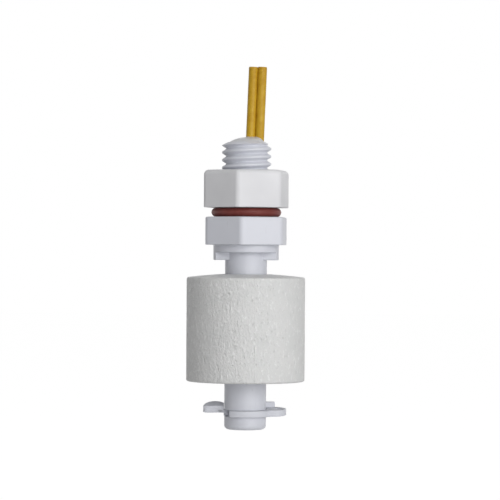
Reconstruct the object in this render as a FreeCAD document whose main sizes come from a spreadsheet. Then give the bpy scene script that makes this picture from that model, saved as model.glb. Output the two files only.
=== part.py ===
import FreeCAD, Part
import math
import os
import re

import Sketcher

# Vertical float level switch, in millimetres. The origin is the middle of the face
# that the seal ring rests on, and +Z points to the threaded end, where the leads leave.

SIZES = {
    # External thread: a 10 mm plastic thread of 1.5 mm pitch, moulded a little under size
    "thread_radius": 4.85,
    "thread_root": 4.08,
    "thread_pitch": 1.5,
    "thread_floor": 0.12,
    "thread_flank": 30,
    "thread_length": 14.15,
    "thread_runout": 0.76,
    # Mouth of the stem, filled with resin round the leads
    "mouth_radius": 3.5,
    "mouth_height": 14.75,
    "mouth_floor": 7.0,
    "mouth_rim": 0.2,
    "cap_rise": 1.05,
    # Hexagon and shoulder with its two stops
    "flange_flat": 15.3,
    "flange_height": 5.5,
    "flange_turn": 24,
    "hexagon_round": 0.7,
    "corner_round": 1.25,
    "shoulder_radius": 6.45,
    "shoulder_height": 1.5,
    "stop_height": 1.5,
    "stop_width": 5.0,
    # Stem that the float slides on, with a blind bore for the reed
    "stem_radius": 4.12,
    "stem_length": 41.85,
    "stem_edge": 0.85,
    "bore_radius": 2.7,
    "bore_gap": 2.1,
    "groove_radius": 3.3,
    "groove_lift": 2.55,
    # Seal ring and lock nut
    "seal_section": 1.8,
    "seal_middle": 6.0,
    "seal_gap": 0.015,
    "nut_flat": 15.5,
    "nut_height": 7.4,
    "nut_turn": 19,
    "nut_mouth": 5.15,
    "thread_play": 0.12,
    # Float, at rest part of the way down its travel
    "float_radius": 11.7,
    "float_bore": 4.6,
    "float_height": 21.1,
    "float_crown": 0.65,
    "float_rest": 0.415,
    "float_edge": 0.4,
    "pocket_inner": 5.4,
    "pocket_outer": 7.4,
    "magnet_height": 5.0,
    "magnet_lift": 5.7,
    "close_gap": 0.03,
    # Retaining clip
    "clip_thick": 1.25,
    "clip_play": 0.05,
    "clip_rim": 5.3,
    "ear_reach": 8.1,
    "ear_radius": 2.6,
    "ear_lift": 0.25,
    "ear_tilt": 4.5,
    "dish_radius": 1.1,
    "dish_depth": 0.35,
    "lobe_middle": 5.9,
    "lobe_radius": 2.4,
    "lobe_lift": 0.75,
    "lobe_tilt": 24,
    "slit_from": 183,
    "slit_to": 235,
    "tab_height": 1.4,
    "tab_reach": 5.8,
    # Leads, two insulated wires side by side
    "jacket_radius": 0.86,
    "core_radius": 0.4,
    "lead_spacing": 1.77,
    "lead_offset": 1.62,
    "lead_lean": 2.1,
    "lead_top": 29.6,
    "lead_level": 15.4,
    # Reed in its glass, and its joints to the leads
    "reed_offset": 0.9,
    "reed_middle": 20.5,
    "glass_length": 14.0,
    "glass_radius": 1.15,
    "glass_wall": 0.3,
    "glass_seal": 2.1,
    "wire_radius": 0.25,
    "blade_width": 1.0,
    "blade_thick": 0.2,
    "blade_lap": 1.0,
    "blade_gap": 0.12,
    "joint_length": 2.2,
    "joint_radius": 0.72,
    "wire_free": 3.9,
    "sleeve_wall": 0.2,
    "sleeve_lap": 0.3,
    "cushion_wall": 0.28,
    "fit_gap": 0.02,
}

doc = FreeCAD.newDocument("FloatSwitch")
sheet = doc.addObject("Spreadsheet::Sheet", "Sizes")
for row, (alias, size) in enumerate(SIZES.items(), 1):
    sheet.set(f"A{row}", str(size))
    sheet.setAlias(f"A{row}", alias)
doc.recompute()

CROWN = "crown"


def link(text):
    """A formula with the sheet's name put before each alias in it."""
    return re.sub(r"\b[a-z]+_[a-z]+\b", r"Sizes.\g<0>", str(text))


def number(text):
    """What a formula comes to at the sheet's present sizes."""
    found = sheet.evalExpression(link(text))
    return float(getattr(found, "Value", found))


def bind(thing, **formulas):
    """Ties properties of an object to formulas; a double underscore stands for a point."""
    for name, text in formulas.items():
        thing.setExpression(name.replace("__", "."), link(text))


def plane(body, role):
    return next(item for item in body.Origin.OriginFeatures if item.Role == role)


def new_body(label, height=None):
    """A body whose own origin is raised to the height that a formula gives."""
    body = doc.addObject("PartDesign::Body", label)
    body.Label = label
    if height is not None:
        bind(body, Placement__Base__z=height)
    return body


def sketch_on(body, role, name, height=None):
    """A sketch on one of the body's own planes, raised along that plane's normal."""
    sketch = body.newObject("Sketcher::SketchObject", name)
    sketch.AttachmentSupport = [(plane(body, role), "")]
    sketch.MapMode = "FlatFace"
    if height is not None:
        bind(sketch, AttachmentOffset__Base__z=height)
    return sketch


def tilted_sketch(body, name, middle, height, tilt, rise="0"):
    """A sketch about a point on the X axis, its back edge tilted up by an angle.

    The rise moves it along its own tilted normal.
    """
    sketch = body.newObject("Sketcher::SketchObject", name)
    sketch.AttachmentSupport = [(plane(body, "XY_Plane"), "")]
    sketch.MapMode = "FlatFace"
    sketch.AttachmentOffset = FreeCAD.Placement(
        FreeCAD.Vector(0, 0, 0), FreeCAD.Rotation(FreeCAD.Vector(1, 0, 0), 1)
    )
    bind(
        sketch,
        AttachmentOffset__Base__x=middle,
        AttachmentOffset__Base__y=f"-({rise}) * sin({tilt} * 1 deg)",
        AttachmentOffset__Base__z=f"({height}) + ({rise}) * cos({tilt} * 1 deg)",
        AttachmentOffset__Rotation__Angle=tilt,
    )
    return sketch


def pin_point(sketch, name, geometry, end, point):
    """Holds one end of a line at a pair of formulas, measured from the sketch's origin."""
    for axis, text in zip("XY", point):
        made = sketch.addConstraint(
            Sketcher.Constraint("Distance" + axis, -1, 1, geometry, end, number(text))
        )
        sketch.renameConstraint(made, f"{name}{axis.lower()}")
        bind(sketch, **{f"Constraints__{name}{axis.lower()}": text})


def outline(sketch, points, closed=True):
    """A run of lines through pairs of formulas.

    A point marked CROWN begins an arc, centred on the vertical axis, to the next point.
    """
    places = [(number(p[0]), number(p[1])) for p in points]
    count = len(places) if closed else len(places) - 1
    first = sketch.GeometryCount
    for i in range(count):
        start, stop = places[i], places[(i + 1) % len(places)]
        if CROWN in points[i][2:]:
            middle = (
                (stop[0] ** 2 + stop[1] ** 2 - start[0] ** 2 - start[1] ** 2)
                / (2 * (stop[1] - start[1]))
            )
            span = [math.atan2(p[1] - middle, p[0]) for p in (start, stop)]
            circle = Part.Circle(
                FreeCAD.Vector(0, middle, 0),
                FreeCAD.Vector(0, 0, 1),
                math.dist((0, middle), start),
            )
            made = sketch.addGeometry(Part.ArcOfCircle(circle, *span))
            sketch.addConstraint(Sketcher.Constraint("PointOnObject", made, 3, -2))
        else:
            sketch.addGeometry(
                Part.LineSegment(FreeCAD.Vector(*start, 0), FreeCAD.Vector(*stop, 0))
            )
    for i in range(count if closed else count - 1):
        follow = first + (i + 1) % count
        sketch.addConstraint(Sketcher.Constraint("Coincident", first + i, 2, follow, 1))
    for i in range(count):
        pin_point(sketch, f"p{first}n{i}", first + i, 1, points[i])
    if not closed:
        pin_point(sketch, f"p{first}n{count}", first + count - 1, 2, points[count])


def round_line(sketch, middle, radius):
    """A circle whose middle and radius are formulas."""
    place = FreeCAD.Vector(number(middle[0]), number(middle[1]), 0)
    made = sketch.addGeometry(Part.Circle(place, FreeCAD.Vector(0, 0, 1), number(radius)))
    pin_point(sketch, f"c{made}n", made, 3, middle)
    held = sketch.addConstraint(Sketcher.Constraint("Radius", made, number(radius)))
    sketch.renameConstraint(held, f"c{made}r")
    bind(sketch, **{f"Constraints__c{made}r": radius})


def hexagon(sketch, flat, turn):
    """Six sides, a given distance across its flats, turned by a given angle."""
    corner = f"{flat} / 2 / cos(30 deg)"
    outline(
        sketch,
        [
            (
                f"{corner} * cos({turn} * 1 deg + {60 * k} deg)",
                f"{corner} * sin({turn} * 1 deg + {60 * k} deg)",
            )
            for k in range(6)
        ],
    )


def feature(body, kind, name, profile, **formulas):
    made = body.newObject("PartDesign::" + kind, name)
    made.Profile = profile
    bind(made, **formulas)
    return made


def pad(body, name, profile, length, down=False):
    made = feature(body, "Pad", name, profile, Length=length)
    made.Reversed = down
    return made


def pocket(body, name, profile, length, up=False):
    made = feature(body, "Pocket", name, profile, Length=length)
    made.Reversed = up
    return made


def turned(body, kind, name, points, role="XZ_Plane"):
    """A revolution or a groove of an outline about the body's vertical axis."""
    profile = sketch_on(body, role, name + "_profile")
    outline(profile, points)
    made = feature(body, kind, name, profile)
    made.ReferenceAxis = (profile, ["V_Axis"])
    made.Angle = 360
    return made


def threaded(body, name, points, height):
    """A right-hand helical cut of the thread's pitch, from the +Y side upwards."""
    profile = sketch_on(body, "YZ_Plane", name + "_profile")
    outline(profile, points)
    made = feature(body, "SubtractiveHelix", name, profile)
    made.ReferenceAxis = (profile, ["V_Axis"])
    made.Mode = 0
    made.Angle = 0
    made.LeftHanded = False
    bind(made, Pitch="thread_pitch", Height=height)
    return made


def soften(body, base, name, radius, wanted):
    """A fillet on the edges of the last feature that a test picks."""
    doc.recompute()
    picked = [
        f"Edge{i}" for i, edge in enumerate(base.Shape.Edges, 1) if wanted(edge)
    ]
    if not picked:
        raise RuntimeError(f"{name} found no edge")
    made = body.newObject("PartDesign::Fillet", name)
    made.Base = (base, picked)
    bind(made, Radius=radius)
    return made


def upright(edge):
    """Whether an edge runs straight up."""
    ends = [v.Point for v in edge.Vertexes]
    if len(ends) < 2:
        return False
    run = ends[1] - ends[0]
    return abs(run.z) > 0.5 and math.hypot(run.x, run.y) < 1e-6


def level_at(height, least, most=math.inf):
    """A test for level edges at a height whose distance from the axis is in a range."""

    def wanted(edge):
        box = edge.BoundBox
        if abs(box.ZMin - height) > 1e-4 or abs(box.ZMax - height) > 1e-4:
            return False
        reach = max(math.hypot(v.X, v.Y) for v in edge.Vertexes)
        return least < reach < most

    return wanted


def tube(label, middle, outer, inner, height, length, feature_name="wall"):
    """A straight round tube, or a rod where no inner radius is given."""
    body = new_body(label, height)
    profile = sketch_on(body, "XY_Plane", label + "_profile")
    round_line(profile, (middle, "0"), outer)
    if inner:
        round_line(profile, (middle, "0"), inner)
    pad(body, f"{label}_{feature_name}", profile, length)
    return body


def boolean(kind, label, base, *tools):
    made = doc.addObject("Part::" + kind, label)
    made.Label = label
    if kind == "Cut":
        made.Base, made.Tool = base, tools[0]
    else:
        made.Shapes = [base, *tools]
    return made


# Depths below the hexagon's upper face, worked out from the sizes
GROOVE_LOW = "(stem_length - groove_lift)"
STOP_END = "(flange_height + shoulder_height + stop_height)"
CLIP_RISE = "(clip_play + clip_thick + lobe_lift + lobe_radius * sin(lobe_tilt * 1 deg))"
FLOAT_ROOM = f"({GROOVE_LOW} - {CLIP_RISE} - {STOP_END} - float_height)"
FLOAT_LOW = f"({STOP_END} + float_height + float_rest * {FLOAT_ROOM})"
JOINT_UPPER = "(reed_middle - glass_length / 2 - wire_free)"
JOINT_LOWER = "(reed_middle + glass_length / 2 + wire_free + joint_length)"
BORE_END = f"({JOINT_LOWER} + sleeve_lap + bore_gap)"

# Moulded stem: hexagon, shoulder with two stops, shank, thread and blind bore
stem = new_body("stem_body")
profile = sketch_on(stem, "XY_Plane", "flange_outline")
hexagon(profile, "flange_flat", "flange_turn")
flange = pad(stem, "flange", profile, "flange_height", down=True)
corners = soften(stem, flange, "flange_corners", "corner_round", upright)
brim = soften(
    stem, corners, "flange_brim", "hexagon_round / 2", level_at(0, number("flange_flat") / 2)
)

profile = sketch_on(stem, "XY_Plane", "shoulder_outline", "-flange_height")
round_line(profile, ("0", "0"), "shoulder_radius")
pad(stem, "shoulder", profile, "shoulder_height + stop_height", down=True)
for side, sign in (("front", "-"), ("back", "")):
    profile = sketch_on(
        stem, "XY_Plane", f"{side}_gap_outline", "-flange_height - shoulder_height"
    )
    outline(
        profile,
        [
            ("-shoulder_radius - 1", f"{sign}stop_width / 2"),
            ("shoulder_radius + 1", f"{sign}stop_width / 2"),
            ("shoulder_radius + 1", f"{sign}(shoulder_radius + 1)"),
            ("-shoulder_radius - 1", f"{sign}(shoulder_radius + 1)"),
        ],
    )
    pocket(stem, f"{side}_gap", profile, "stop_height + 1")

shank = turned(
    stem,
    "Revolution",
    "shank",
    [
        ("0", "-stem_length"),
        ("stem_radius", "-stem_length"),
        ("stem_radius", f"-{GROOVE_LOW}"),
        ("groove_radius", f"-{GROOVE_LOW}"),
        ("groove_radius", f"-{GROOVE_LOW} + clip_thick + 2 * clip_play"),
        ("stem_radius", f"-{GROOVE_LOW} + clip_thick + 2 * clip_play"),
        ("stem_radius", "-flange_height / 2"),
        ("thread_radius", "-flange_height / 2"),
        ("thread_radius", "thread_length"),
        ("mouth_radius + mouth_rim", "mouth_height"),
        ("0", "mouth_height"),
    ],
)
shank = soften(
    stem, shank, "stem_tip", "stem_edge", level_at(-number("stem_length"), 1)
)
turned(
    stem,
    "Groove",
    "bore",
    [
        ("0", f"-{BORE_END}"),
        ("bore_radius", f"-{BORE_END}"),
        ("bore_radius", "mouth_floor - (mouth_radius - bore_radius)"),
        ("mouth_radius", "mouth_floor"),
        ("mouth_radius", "mouth_height + 1"),
        ("0", "mouth_height + 1"),
    ],
)
NUT_LOW = "(seal_section + 2 * seal_gap)"
THREAD_LOW = f"({NUT_LOW} - thread_runout)"
HALF_GROOVE = "(thread_floor + (thread_radius - thread_root) * tan(thread_flank * 1 deg))"
threaded(
    stem,
    "thread",
    [
        ("thread_root", f"{THREAD_LOW} - thread_floor"),
        ("thread_radius", f"{THREAD_LOW} - {HALF_GROOVE}"),
        ("thread_radius + 0.5", f"{THREAD_LOW} - {HALF_GROOVE}"),
        ("thread_radius + 0.5", f"{THREAD_LOW} + {HALF_GROOVE}"),
        ("thread_radius", f"{THREAD_LOW} + {HALF_GROOVE}"),
        ("thread_root", f"{THREAD_LOW} + thread_floor"),
    ],
    f"mouth_height + thread_pitch - {THREAD_LOW}",
)

# Lock nut, whose thread follows the stem's with the same play on both flanks
nut = new_body("lock_nut", NUT_LOW)
profile = sketch_on(nut, "XY_Plane", "nut_outline")
hexagon(profile, "nut_flat", "nut_turn")
block = pad(nut, "nut_block", profile, "nut_height")
corners = soften(nut, block, "nut_corners", "corner_round", upright)
brim = soften(
    nut,
    corners,
    "nut_brim",
    "1.4 * hexagon_round",
    level_at(number("nut_height"), number("nut_flat") / 2),
)
soften(nut, brim, "nut_foot", "hexagon_round / 4", level_at(0, number("nut_flat") / 2))
NUT_BORE = "(thread_root + 1.4 * thread_play)"
turned(
    nut,
    "Groove",
    "nut_bore",
    [
        ("0", "-1"),
        ("nut_mouth + 1", "-1"),
        (NUT_BORE, f"nut_mouth - {NUT_BORE}"),
        (NUT_BORE, f"nut_height - nut_mouth + {NUT_BORE}"),
        ("nut_mouth + 1", "nut_height + 1"),
        ("0", "nut_height + 1"),
    ],
)
NUT_START = "(-thread_runout - 0.5 * thread_pitch)"
SLACK = "thread_play / cos(thread_flank * 1 deg)"
NUT_INSIDE = f"({NUT_BORE} - 0.03)"
NUT_OUTSIDE = "(thread_radius + thread_play)"


def nut_half(radius):
    """Half the height of the nut's groove at a radius."""
    rise = f"({radius} - thread_root) * tan(thread_flank * 1 deg)"
    return f"(thread_pitch / 2 - (thread_floor + {rise} - {SLACK}))"


threaded(
    nut,
    "nut_thread",
    [
        (NUT_INSIDE, f"{NUT_START} - {nut_half(NUT_INSIDE)}"),
        (NUT_OUTSIDE, f"{NUT_START} - {nut_half(NUT_OUTSIDE)}"),
        (NUT_OUTSIDE, f"{NUT_START} + {nut_half(NUT_OUTSIDE)}"),
        (NUT_INSIDE, f"{NUT_START} + {nut_half(NUT_INSIDE)}"),
    ],
    "nut_height + 3 * thread_pitch",
)

# Seal ring between the nut and the hexagon
seal = doc.addObject("Part::Torus", "seal_ring")
seal.Label = "seal_ring"
bind(
    seal,
    Radius1="seal_middle",
    Radius2="seal_section / 2",
    Placement__Base__z="seal_gap + seal_section / 2",
)

# Float with a pocket for its ring magnet, open below and closed by a cover ring
float_body = new_body("float_body", f"-{FLOAT_LOW}")
shell = turned(
    float_body,
    "Revolution",
    "float_wall",
    [
        ("float_bore", "0"),
        ("pocket_inner", "0"),
        ("pocket_inner", "magnet_lift + magnet_height"),
        ("pocket_outer", "magnet_lift + magnet_height"),
        ("pocket_outer", "0"),
        ("float_radius", "0"),
        ("float_radius", "float_height - float_crown", CROWN),
        ("float_bore", "float_height"),
    ],
)
rims = soften(
    float_body,
    shell,
    "float_rims",
    "float_edge",
    lambda edge: level_at(0, number("float_radius") - 0.1)(edge)
    or level_at(number("float_height - float_crown"), number("float_radius") - 0.1)(edge),
)
magnet = tube(
    "magnet_ring",
    "0",
    "pocket_outer - close_gap",
    "pocket_inner + close_gap",
    f"-{FLOAT_LOW} + magnet_lift",
    "magnet_height - close_gap",
)
cover = tube(
    "magnet_cover",
    "0",
    "pocket_outer - close_gap",
    "pocket_inner + close_gap",
    f"-{FLOAT_LOW}",
    "magnet_lift - close_gap",
)

# Split retaining clip: a flat ring with a finger ear, a bent lobe and an upright tab
clip = new_body("retaining_clip", f"-{GROOVE_LOW} + clip_play")
CLIP_BORE = "(groove_radius + clip_play)"
profile = sketch_on(clip, "XY_Plane", "ring_outline")
round_line(profile, ("0", "0"), "clip_rim")
pad(clip, "ring", profile, "clip_thick")
EAR_MIDDLE = "(ear_reach - ear_radius)"
NECK = "(stem_radius + 0.4)"
profile = tilted_sketch(clip, "ear_neck_outline", EAR_MIDDLE, "ear_lift", "ear_tilt")
outline(
    profile,
    [
        (f"{NECK} - {EAR_MIDDLE}", "-ear_radius"),
        ("0", "-ear_radius"),
        ("0", "ear_radius"),
        (f"{NECK} - {EAR_MIDDLE}", "ear_radius"),
    ],
)
pad(clip, "ear_neck", profile, "clip_thick")
profile = tilted_sketch(clip, "ear_outline", EAR_MIDDLE, "ear_lift", "ear_tilt")
round_line(profile, ("0", "0"), "ear_radius")
ear = pad(clip, "ear", profile, "clip_thick")
profile = sketch_on(clip, "XY_Plane", "tab_outline")
outline(
    profile,
    [
        ("tab_reach - 2.1", "stem_radius - 1.6"),
        ("tab_reach", "stem_radius - 1.6"),
        ("tab_reach", "stem_radius + 0.2"),
        ("tab_reach - 2.1", "stem_radius + 0.2"),
    ],
)
pad(clip, "tab", profile, "clip_thick + tab_height")
profile = tilted_sketch(clip, "lobe_outline", "-lobe_middle", "lobe_lift", "lobe_tilt")
round_line(profile, ("0", "0"), "lobe_radius")
pad(clip, "lobe", profile, "clip_thick")
profile = sketch_on(clip, "XY_Plane", "clip_bore_outline")
round_line(profile, ("0", "0"), CLIP_BORE)
clip_bore = pocket(clip, "clip_bore", profile, "2 * clip_thick")
clip_bore.Midplane = True
profile = sketch_on(clip, "XY_Plane", "stem_gap_outline", "clip_thick")
round_line(profile, ("0", "0"), "stem_radius + 0.15")
pocket(clip, "stem_gap", profile, "3 * clip_thick", up=True)
profile = sketch_on(clip, "XY_Plane", "stem_room_outline")
round_line(profile, ("0", "0"), "stem_radius + 0.15")
pocket(clip, "stem_room", profile, "clip_thick")
profile = sketch_on(clip, "XY_Plane", "slit_outline")
outline(
    profile,
    [
        ("0", "0"),
        ("2 * clip_rim * cos(slit_from * 1 deg)", "2 * clip_rim * sin(slit_from * 1 deg)"),
        ("2 * clip_rim * cos(slit_to * 1 deg)", "2 * clip_rim * sin(slit_to * 1 deg)"),
    ],
)
slit = pocket(clip, "slit", profile, "6 * clip_thick")
slit.Midplane = True
profile = sketch_on(clip, "XY_Plane", "lobe_step_outline")
outline(
    profile,
    [
        ("-clip_rim - 1", "-lobe_radius"),
        ("-stem_radius - 0.1", "-lobe_radius"),
        ("-stem_radius - 0.1", "clip_rim"),
        ("-clip_rim - 1", "clip_rim"),
    ],
)
pocket(clip, "lobe_step", profile, "lobe_lift - 0.1", up=True)
profile = tilted_sketch(clip, "dish_outline", EAR_MIDDLE, "ear_lift", "ear_tilt", "clip_thick")
round_line(profile, ("0.9", "0"), "dish_radius")
pocket(clip, "dish", profile, "dish_depth")


# Potting resin in the mouth, domed round the leads, and the leads through it
LEAN = "tan(lead_lean * 1 deg)"
SIDE = {"left": "-", "right": ""}


def lead_route(side, low):
    """The middle line of a lead in the XZ plane, from its lower end up to the cut."""
    sign = SIDE[side]
    own = f"{sign}lead_spacing / 2"
    top = (f"lead_offset {sign or '+'} lead_spacing / 2 + (lead_top - lead_level) * {LEAN}", "lead_top")
    mouth = (f"lead_offset {sign or '+'} lead_spacing / 2 - (lead_level - 9) * {LEAN}", "9")
    return [*low, (own, "2"), mouth, top]


def lead(label, side, low, outer, inner):
    """A wire or its jacket, swept along the route with square ends."""
    body = new_body(label)
    spine = sketch_on(body, "XZ_Plane", label + "_route")
    route = lead_route(side, low)
    outline(spine, route, closed=False)
    section = sketch_on(body, "XY_Plane", label + "_section", route[0][1])
    round_line(section, (route[0][0], "0"), outer)
    if inner:
        round_line(section, (route[0][0], "0"), inner)
    made = feature(body, "AdditivePipe", label + "_sweep", section)
    made.Spine = (spine, [f"Edge{i + 1}" for i in range(spine.GeometryCount)])
    made.Transition = 1
    return body


REED = "-reed_offset"
LAP = "(-reed_offset + core_radius + wire_radius + fit_gap)"
DOWN = "(bore_radius - jacket_radius - 0.09)"
left_core_low = [
    (LAP, f"-{JOINT_UPPER}"),
    (LAP, f"-{JOINT_UPPER} + joint_length + 2 * sleeve_lap"),
    ("-lead_spacing / 2", f"-{JOINT_UPPER} + joint_length + 2.4"),
]
right_core_low = [
    (LAP, f"-{JOINT_LOWER}"),
    (LAP, f"-{JOINT_LOWER} + joint_length + 2 * sleeve_lap"),
    (DOWN, f"-{JOINT_LOWER} + joint_length + 3"),
    (DOWN, "-4"),
]
left_jacket_low = [("-lead_spacing / 2", f"-{JOINT_UPPER} + joint_length + 2.5")]
right_jacket_low = [(DOWN, f"-{JOINT_LOWER} + joint_length + 3.2"), (DOWN, "-4")]
JACKET_BORE = "core_radius + fit_gap"
jackets = [
    lead("lead_jacket_left", "left", left_jacket_low, "jacket_radius", JACKET_BORE),
    lead("lead_jacket_right", "right", right_jacket_low, "jacket_radius", JACKET_BORE),
]
cores = [
    lead("lead_core_left", "left", left_core_low, "core_radius", None),
    lead("lead_core_right", "right", right_core_low, "core_radius", None),
]
resin = new_body("resin_fill")
turned(
    resin,
    "Revolution",
    "resin",
    [
        ("0", "mouth_floor - (mouth_radius - bore_radius) - 1.2"),
        ("bore_radius - fit_gap", "mouth_floor - (mouth_radius - bore_radius) - 1.2"),
        ("bore_radius - fit_gap", "mouth_floor - (mouth_radius - bore_radius)"),
        ("mouth_radius - fit_gap", "mouth_floor"),
        ("mouth_radius - fit_gap", "mouth_height", CROWN),
        ("0", "mouth_height + cap_rise"),
    ],
)
holes = [
    lead("resin_hole_left", "left", [("-lead_spacing / 2", "0")], "jacket_radius + fit_gap", None),
    lead("resin_hole_right", "right", [("lead_spacing / 2", "0")], "jacket_radius + fit_gap", None),
]
potting = boolean("Cut", "potting_plug", resin, boolean("MultiFuse", "resin_holes", *holes))

# Reed switch: a glass tube with its ends melted round two wires with flat blades
GLASS_END = "wire_radius + fit_gap"
glass = new_body("reed_glass", "-reed_middle")
bind(glass, Placement__Base__x=REED)
tube_wall = turned(
    glass,
    "Revolution",
    "glass_tube",
    [
        (GLASS_END, "-glass_length / 2"),
        ("glass_radius", "-glass_length / 2"),
        ("glass_radius", "glass_length / 2"),
        (GLASS_END, "glass_length / 2"),
        (GLASS_END, "glass_length / 2 - glass_seal"),
        ("glass_radius - glass_wall", "glass_length / 2 - glass_seal"),
        ("glass_radius - glass_wall", "-glass_length / 2 + glass_seal"),
        (GLASS_END, "-glass_length / 2 + glass_seal"),
    ],
)
half_glass = number("glass_length") / 2
soften(
    glass,
    tube_wall,
    "glass_ends",
    "glass_radius / 2",
    lambda edge: level_at(half_glass, 1)(edge) or level_at(-half_glass, 1)(edge),
)


def blade(label, upper):
    """One reed: a round wire through the end of the glass, rolled flat inside it."""
    wire = doc.addObject("Part::Cylinder", label + "_wire")
    flat = doc.addObject("Part::Box", label + "_flat")
    inside = "glass_length / 2 - glass_seal - 0.3"
    bind(wire, Radius="wire_radius")
    bind(
        flat,
        Length="blade_width",
        Width="blade_thick",
        Height=f"{inside} + blade_lap / 2 + 0.2",
        Placement__Base__x=f"{REED} - blade_width / 2",
    )
    if upper:
        bind(wire, Height=f"reed_middle - {JOINT_UPPER} - ({inside})")
        bind(wire, Placement__Base__z=f"-reed_middle + {inside}")
        bind(flat, Placement__Base__z="-reed_middle - blade_lap / 2")
        bind(flat, Placement__Base__y="blade_gap / 2")
    else:
        bind(wire, Height=f"{JOINT_LOWER} - reed_middle - ({inside})")
        bind(wire, Placement__Base__z=f"-{JOINT_LOWER}")
        bind(flat, Placement__Base__z=f"-reed_middle - ({inside}) - 0.2")
        bind(flat, Placement__Base__y="-blade_gap / 2 - blade_thick")
    bind(wire, Placement__Base__x=REED)
    return boolean("MultiFuse", label, wire, flat)


blades = [blade("reed_blade_upper", True), blade("reed_blade_lower", False)]
# The upper wire runs on beside the lead's core, so both joints hold a lap
bind(
    doc.getObject("reed_blade_upper_wire"),
    Height="wire_free + glass_seal + 0.3 + joint_length",
)


def joint(label, core, wire, low):
    """Solder round a lap of core and wire, as a short rod with both cut out of it."""
    middle = f"{REED} + core_radius"
    blob = tube(label + "_blob", middle, "joint_radius", None, low, "joint_length")
    return boolean("Cut", label, blob, boolean("MultiFuse", label + "_wires", core, wire))


joints = [
    joint("solder_joint_upper", cores[0], blades[0], f"-{JOINT_UPPER}"),
    joint("solder_joint_lower", cores[1], blades[1], f"-{JOINT_LOWER}"),
]
sleeves = [
    tube(
        label,
        f"{REED} + core_radius",
        "joint_radius + fit_gap + sleeve_wall",
        "joint_radius + fit_gap",
        low,
        "joint_length + 2 * sleeve_lap",
    )
    for label, low in (
        ("joint_sleeve_upper", f"-{JOINT_UPPER} - sleeve_lap"),
        ("joint_sleeve_lower", f"-{JOINT_LOWER} - sleeve_lap"),
    )
]
cushion = tube(
    "reed_cushion",
    REED,
    "glass_radius + fit_gap + cushion_wall",
    "glass_radius + fit_gap",
    "-reed_middle - glass_length / 2 + 1",
    "glass_length - 2",
)

NODES = [
    stem, nut, seal, float_body, magnet, cover, clip, *jackets, *cores, potting,
    glass, *blades, *joints, *sleeves, cushion,
]

doc.recompute()
faults = []
for item in doc.Objects:
    if "Invalid" in item.State or "Error" in item.State:
        faults.append(f"{item.Label} is in state {item.State}")
for item in NODES:
    if item.Shape.isNull() or not item.Shape.isValid():
        faults.append(f"{item.Label} has no valid shape")
    elif len(item.Shape.Solids) != 1:
        faults.append(f"{item.Label} has {len(item.Shape.Solids)} solids")
if faults:
    raise RuntimeError("; ".join(faults))

os.makedirs("parts", exist_ok=True)
for item in NODES:
    Part.export([item], f"parts/{item.Label}.step")
    box = item.Shape.BoundBox
    print(f"{item.Label}: {box.XLength:.2f} x {box.YLength:.2f} x {box.ZLength:.2f} mm")
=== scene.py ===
"""Dresses the CAD frame of a vertical float level switch.

Sizes are in millimetres in the frame of the CAD model: the origin is the middle of the
hexagon's upper face, +Z points to the threaded end and the camera looks along +Y. Each
surface is worked out as numpy arrays and becomes metres when its mesh is made.
"""

from __future__ import annotations

import logging
import math
from dataclasses import dataclass, field
from enum import Enum

import bpy
import numpy as np
from mathutils import Matrix, Vector

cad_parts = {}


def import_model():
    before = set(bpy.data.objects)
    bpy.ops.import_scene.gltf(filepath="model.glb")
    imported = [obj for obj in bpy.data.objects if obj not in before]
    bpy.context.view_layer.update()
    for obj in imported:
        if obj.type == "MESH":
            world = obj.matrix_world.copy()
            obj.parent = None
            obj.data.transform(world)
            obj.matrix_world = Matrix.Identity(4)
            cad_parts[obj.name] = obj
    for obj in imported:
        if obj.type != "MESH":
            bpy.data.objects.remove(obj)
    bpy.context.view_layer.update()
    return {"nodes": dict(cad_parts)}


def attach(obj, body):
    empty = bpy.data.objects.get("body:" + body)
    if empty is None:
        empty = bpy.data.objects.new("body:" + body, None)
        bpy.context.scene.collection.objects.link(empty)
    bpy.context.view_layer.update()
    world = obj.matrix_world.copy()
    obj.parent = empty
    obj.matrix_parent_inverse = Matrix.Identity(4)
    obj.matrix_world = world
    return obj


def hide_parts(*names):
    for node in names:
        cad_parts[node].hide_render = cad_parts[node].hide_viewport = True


LOG = logging.getLogger("float_switch")
Array = np.ndarray
Value = np.ndarray | float
# Radius and height of each ring, where either may vary with the angle
Profile = list[tuple[Value, Value]]
# Where a noise starts to show and where it shows in full
Range = tuple[float, float]
# Points as x and z
Route = tuple[tuple[float, float], ...]
Colour = tuple[float, float, float]
Socket = bpy.types.NodeSocket
METRE = 0.001
TURN = 2 * math.pi
# Farther than any size of the part, in millimetres
FAR = 99.0
# Keeps a divisor off zero
TINY = 1e-9
# Sets two edges just apart, in millimetres or radians
HAIR = 1e-3
# Points of a mesh are welded at this many decimals of a millimetre
POINT_DECIMALS = 5
# Angles of a run count as one at this many decimals of a radian
ANGLE_DECIMALS = 6


class Body(Enum):
    """The rigid bodies that carry new pieces."""

    SWITCH = "switch"
    FLOAT = "float"
    SEAL = "seal"
    NUT = "nut"


# Arrays and outlines


def around(count: int) -> Array:
    """Evenly spaced angles of a full turn.

    Args:
        count: How many angles.

    Returns:
        The angles in radians, from 0 up to just under a full turn.
    """
    return np.arange(count) * TURN / count


def gather(*runs: Array) -> Array:
    """The angles of several runs in order, each once, in radians."""
    return np.unique(np.round(np.concatenate(runs), ANGLE_DECIMALS))


def texture_scale(size: float) -> float:
    """Scale at which a texture's features are a size in millimetres across."""
    return 1 / METRE / size


def round_corner(start: float, stop: float, steps: int) -> tuple[Array, Array]:
    """Cosines and sines of a run of angles.

    Args:
        start: First angle in degrees.
        stop: Last angle in degrees.
        steps: How many angles.

    Returns:
        The cosines and the sines.
    """
    turn = np.radians(np.linspace(start, stop, steps))
    return np.cos(turn), np.sin(turn)


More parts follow.
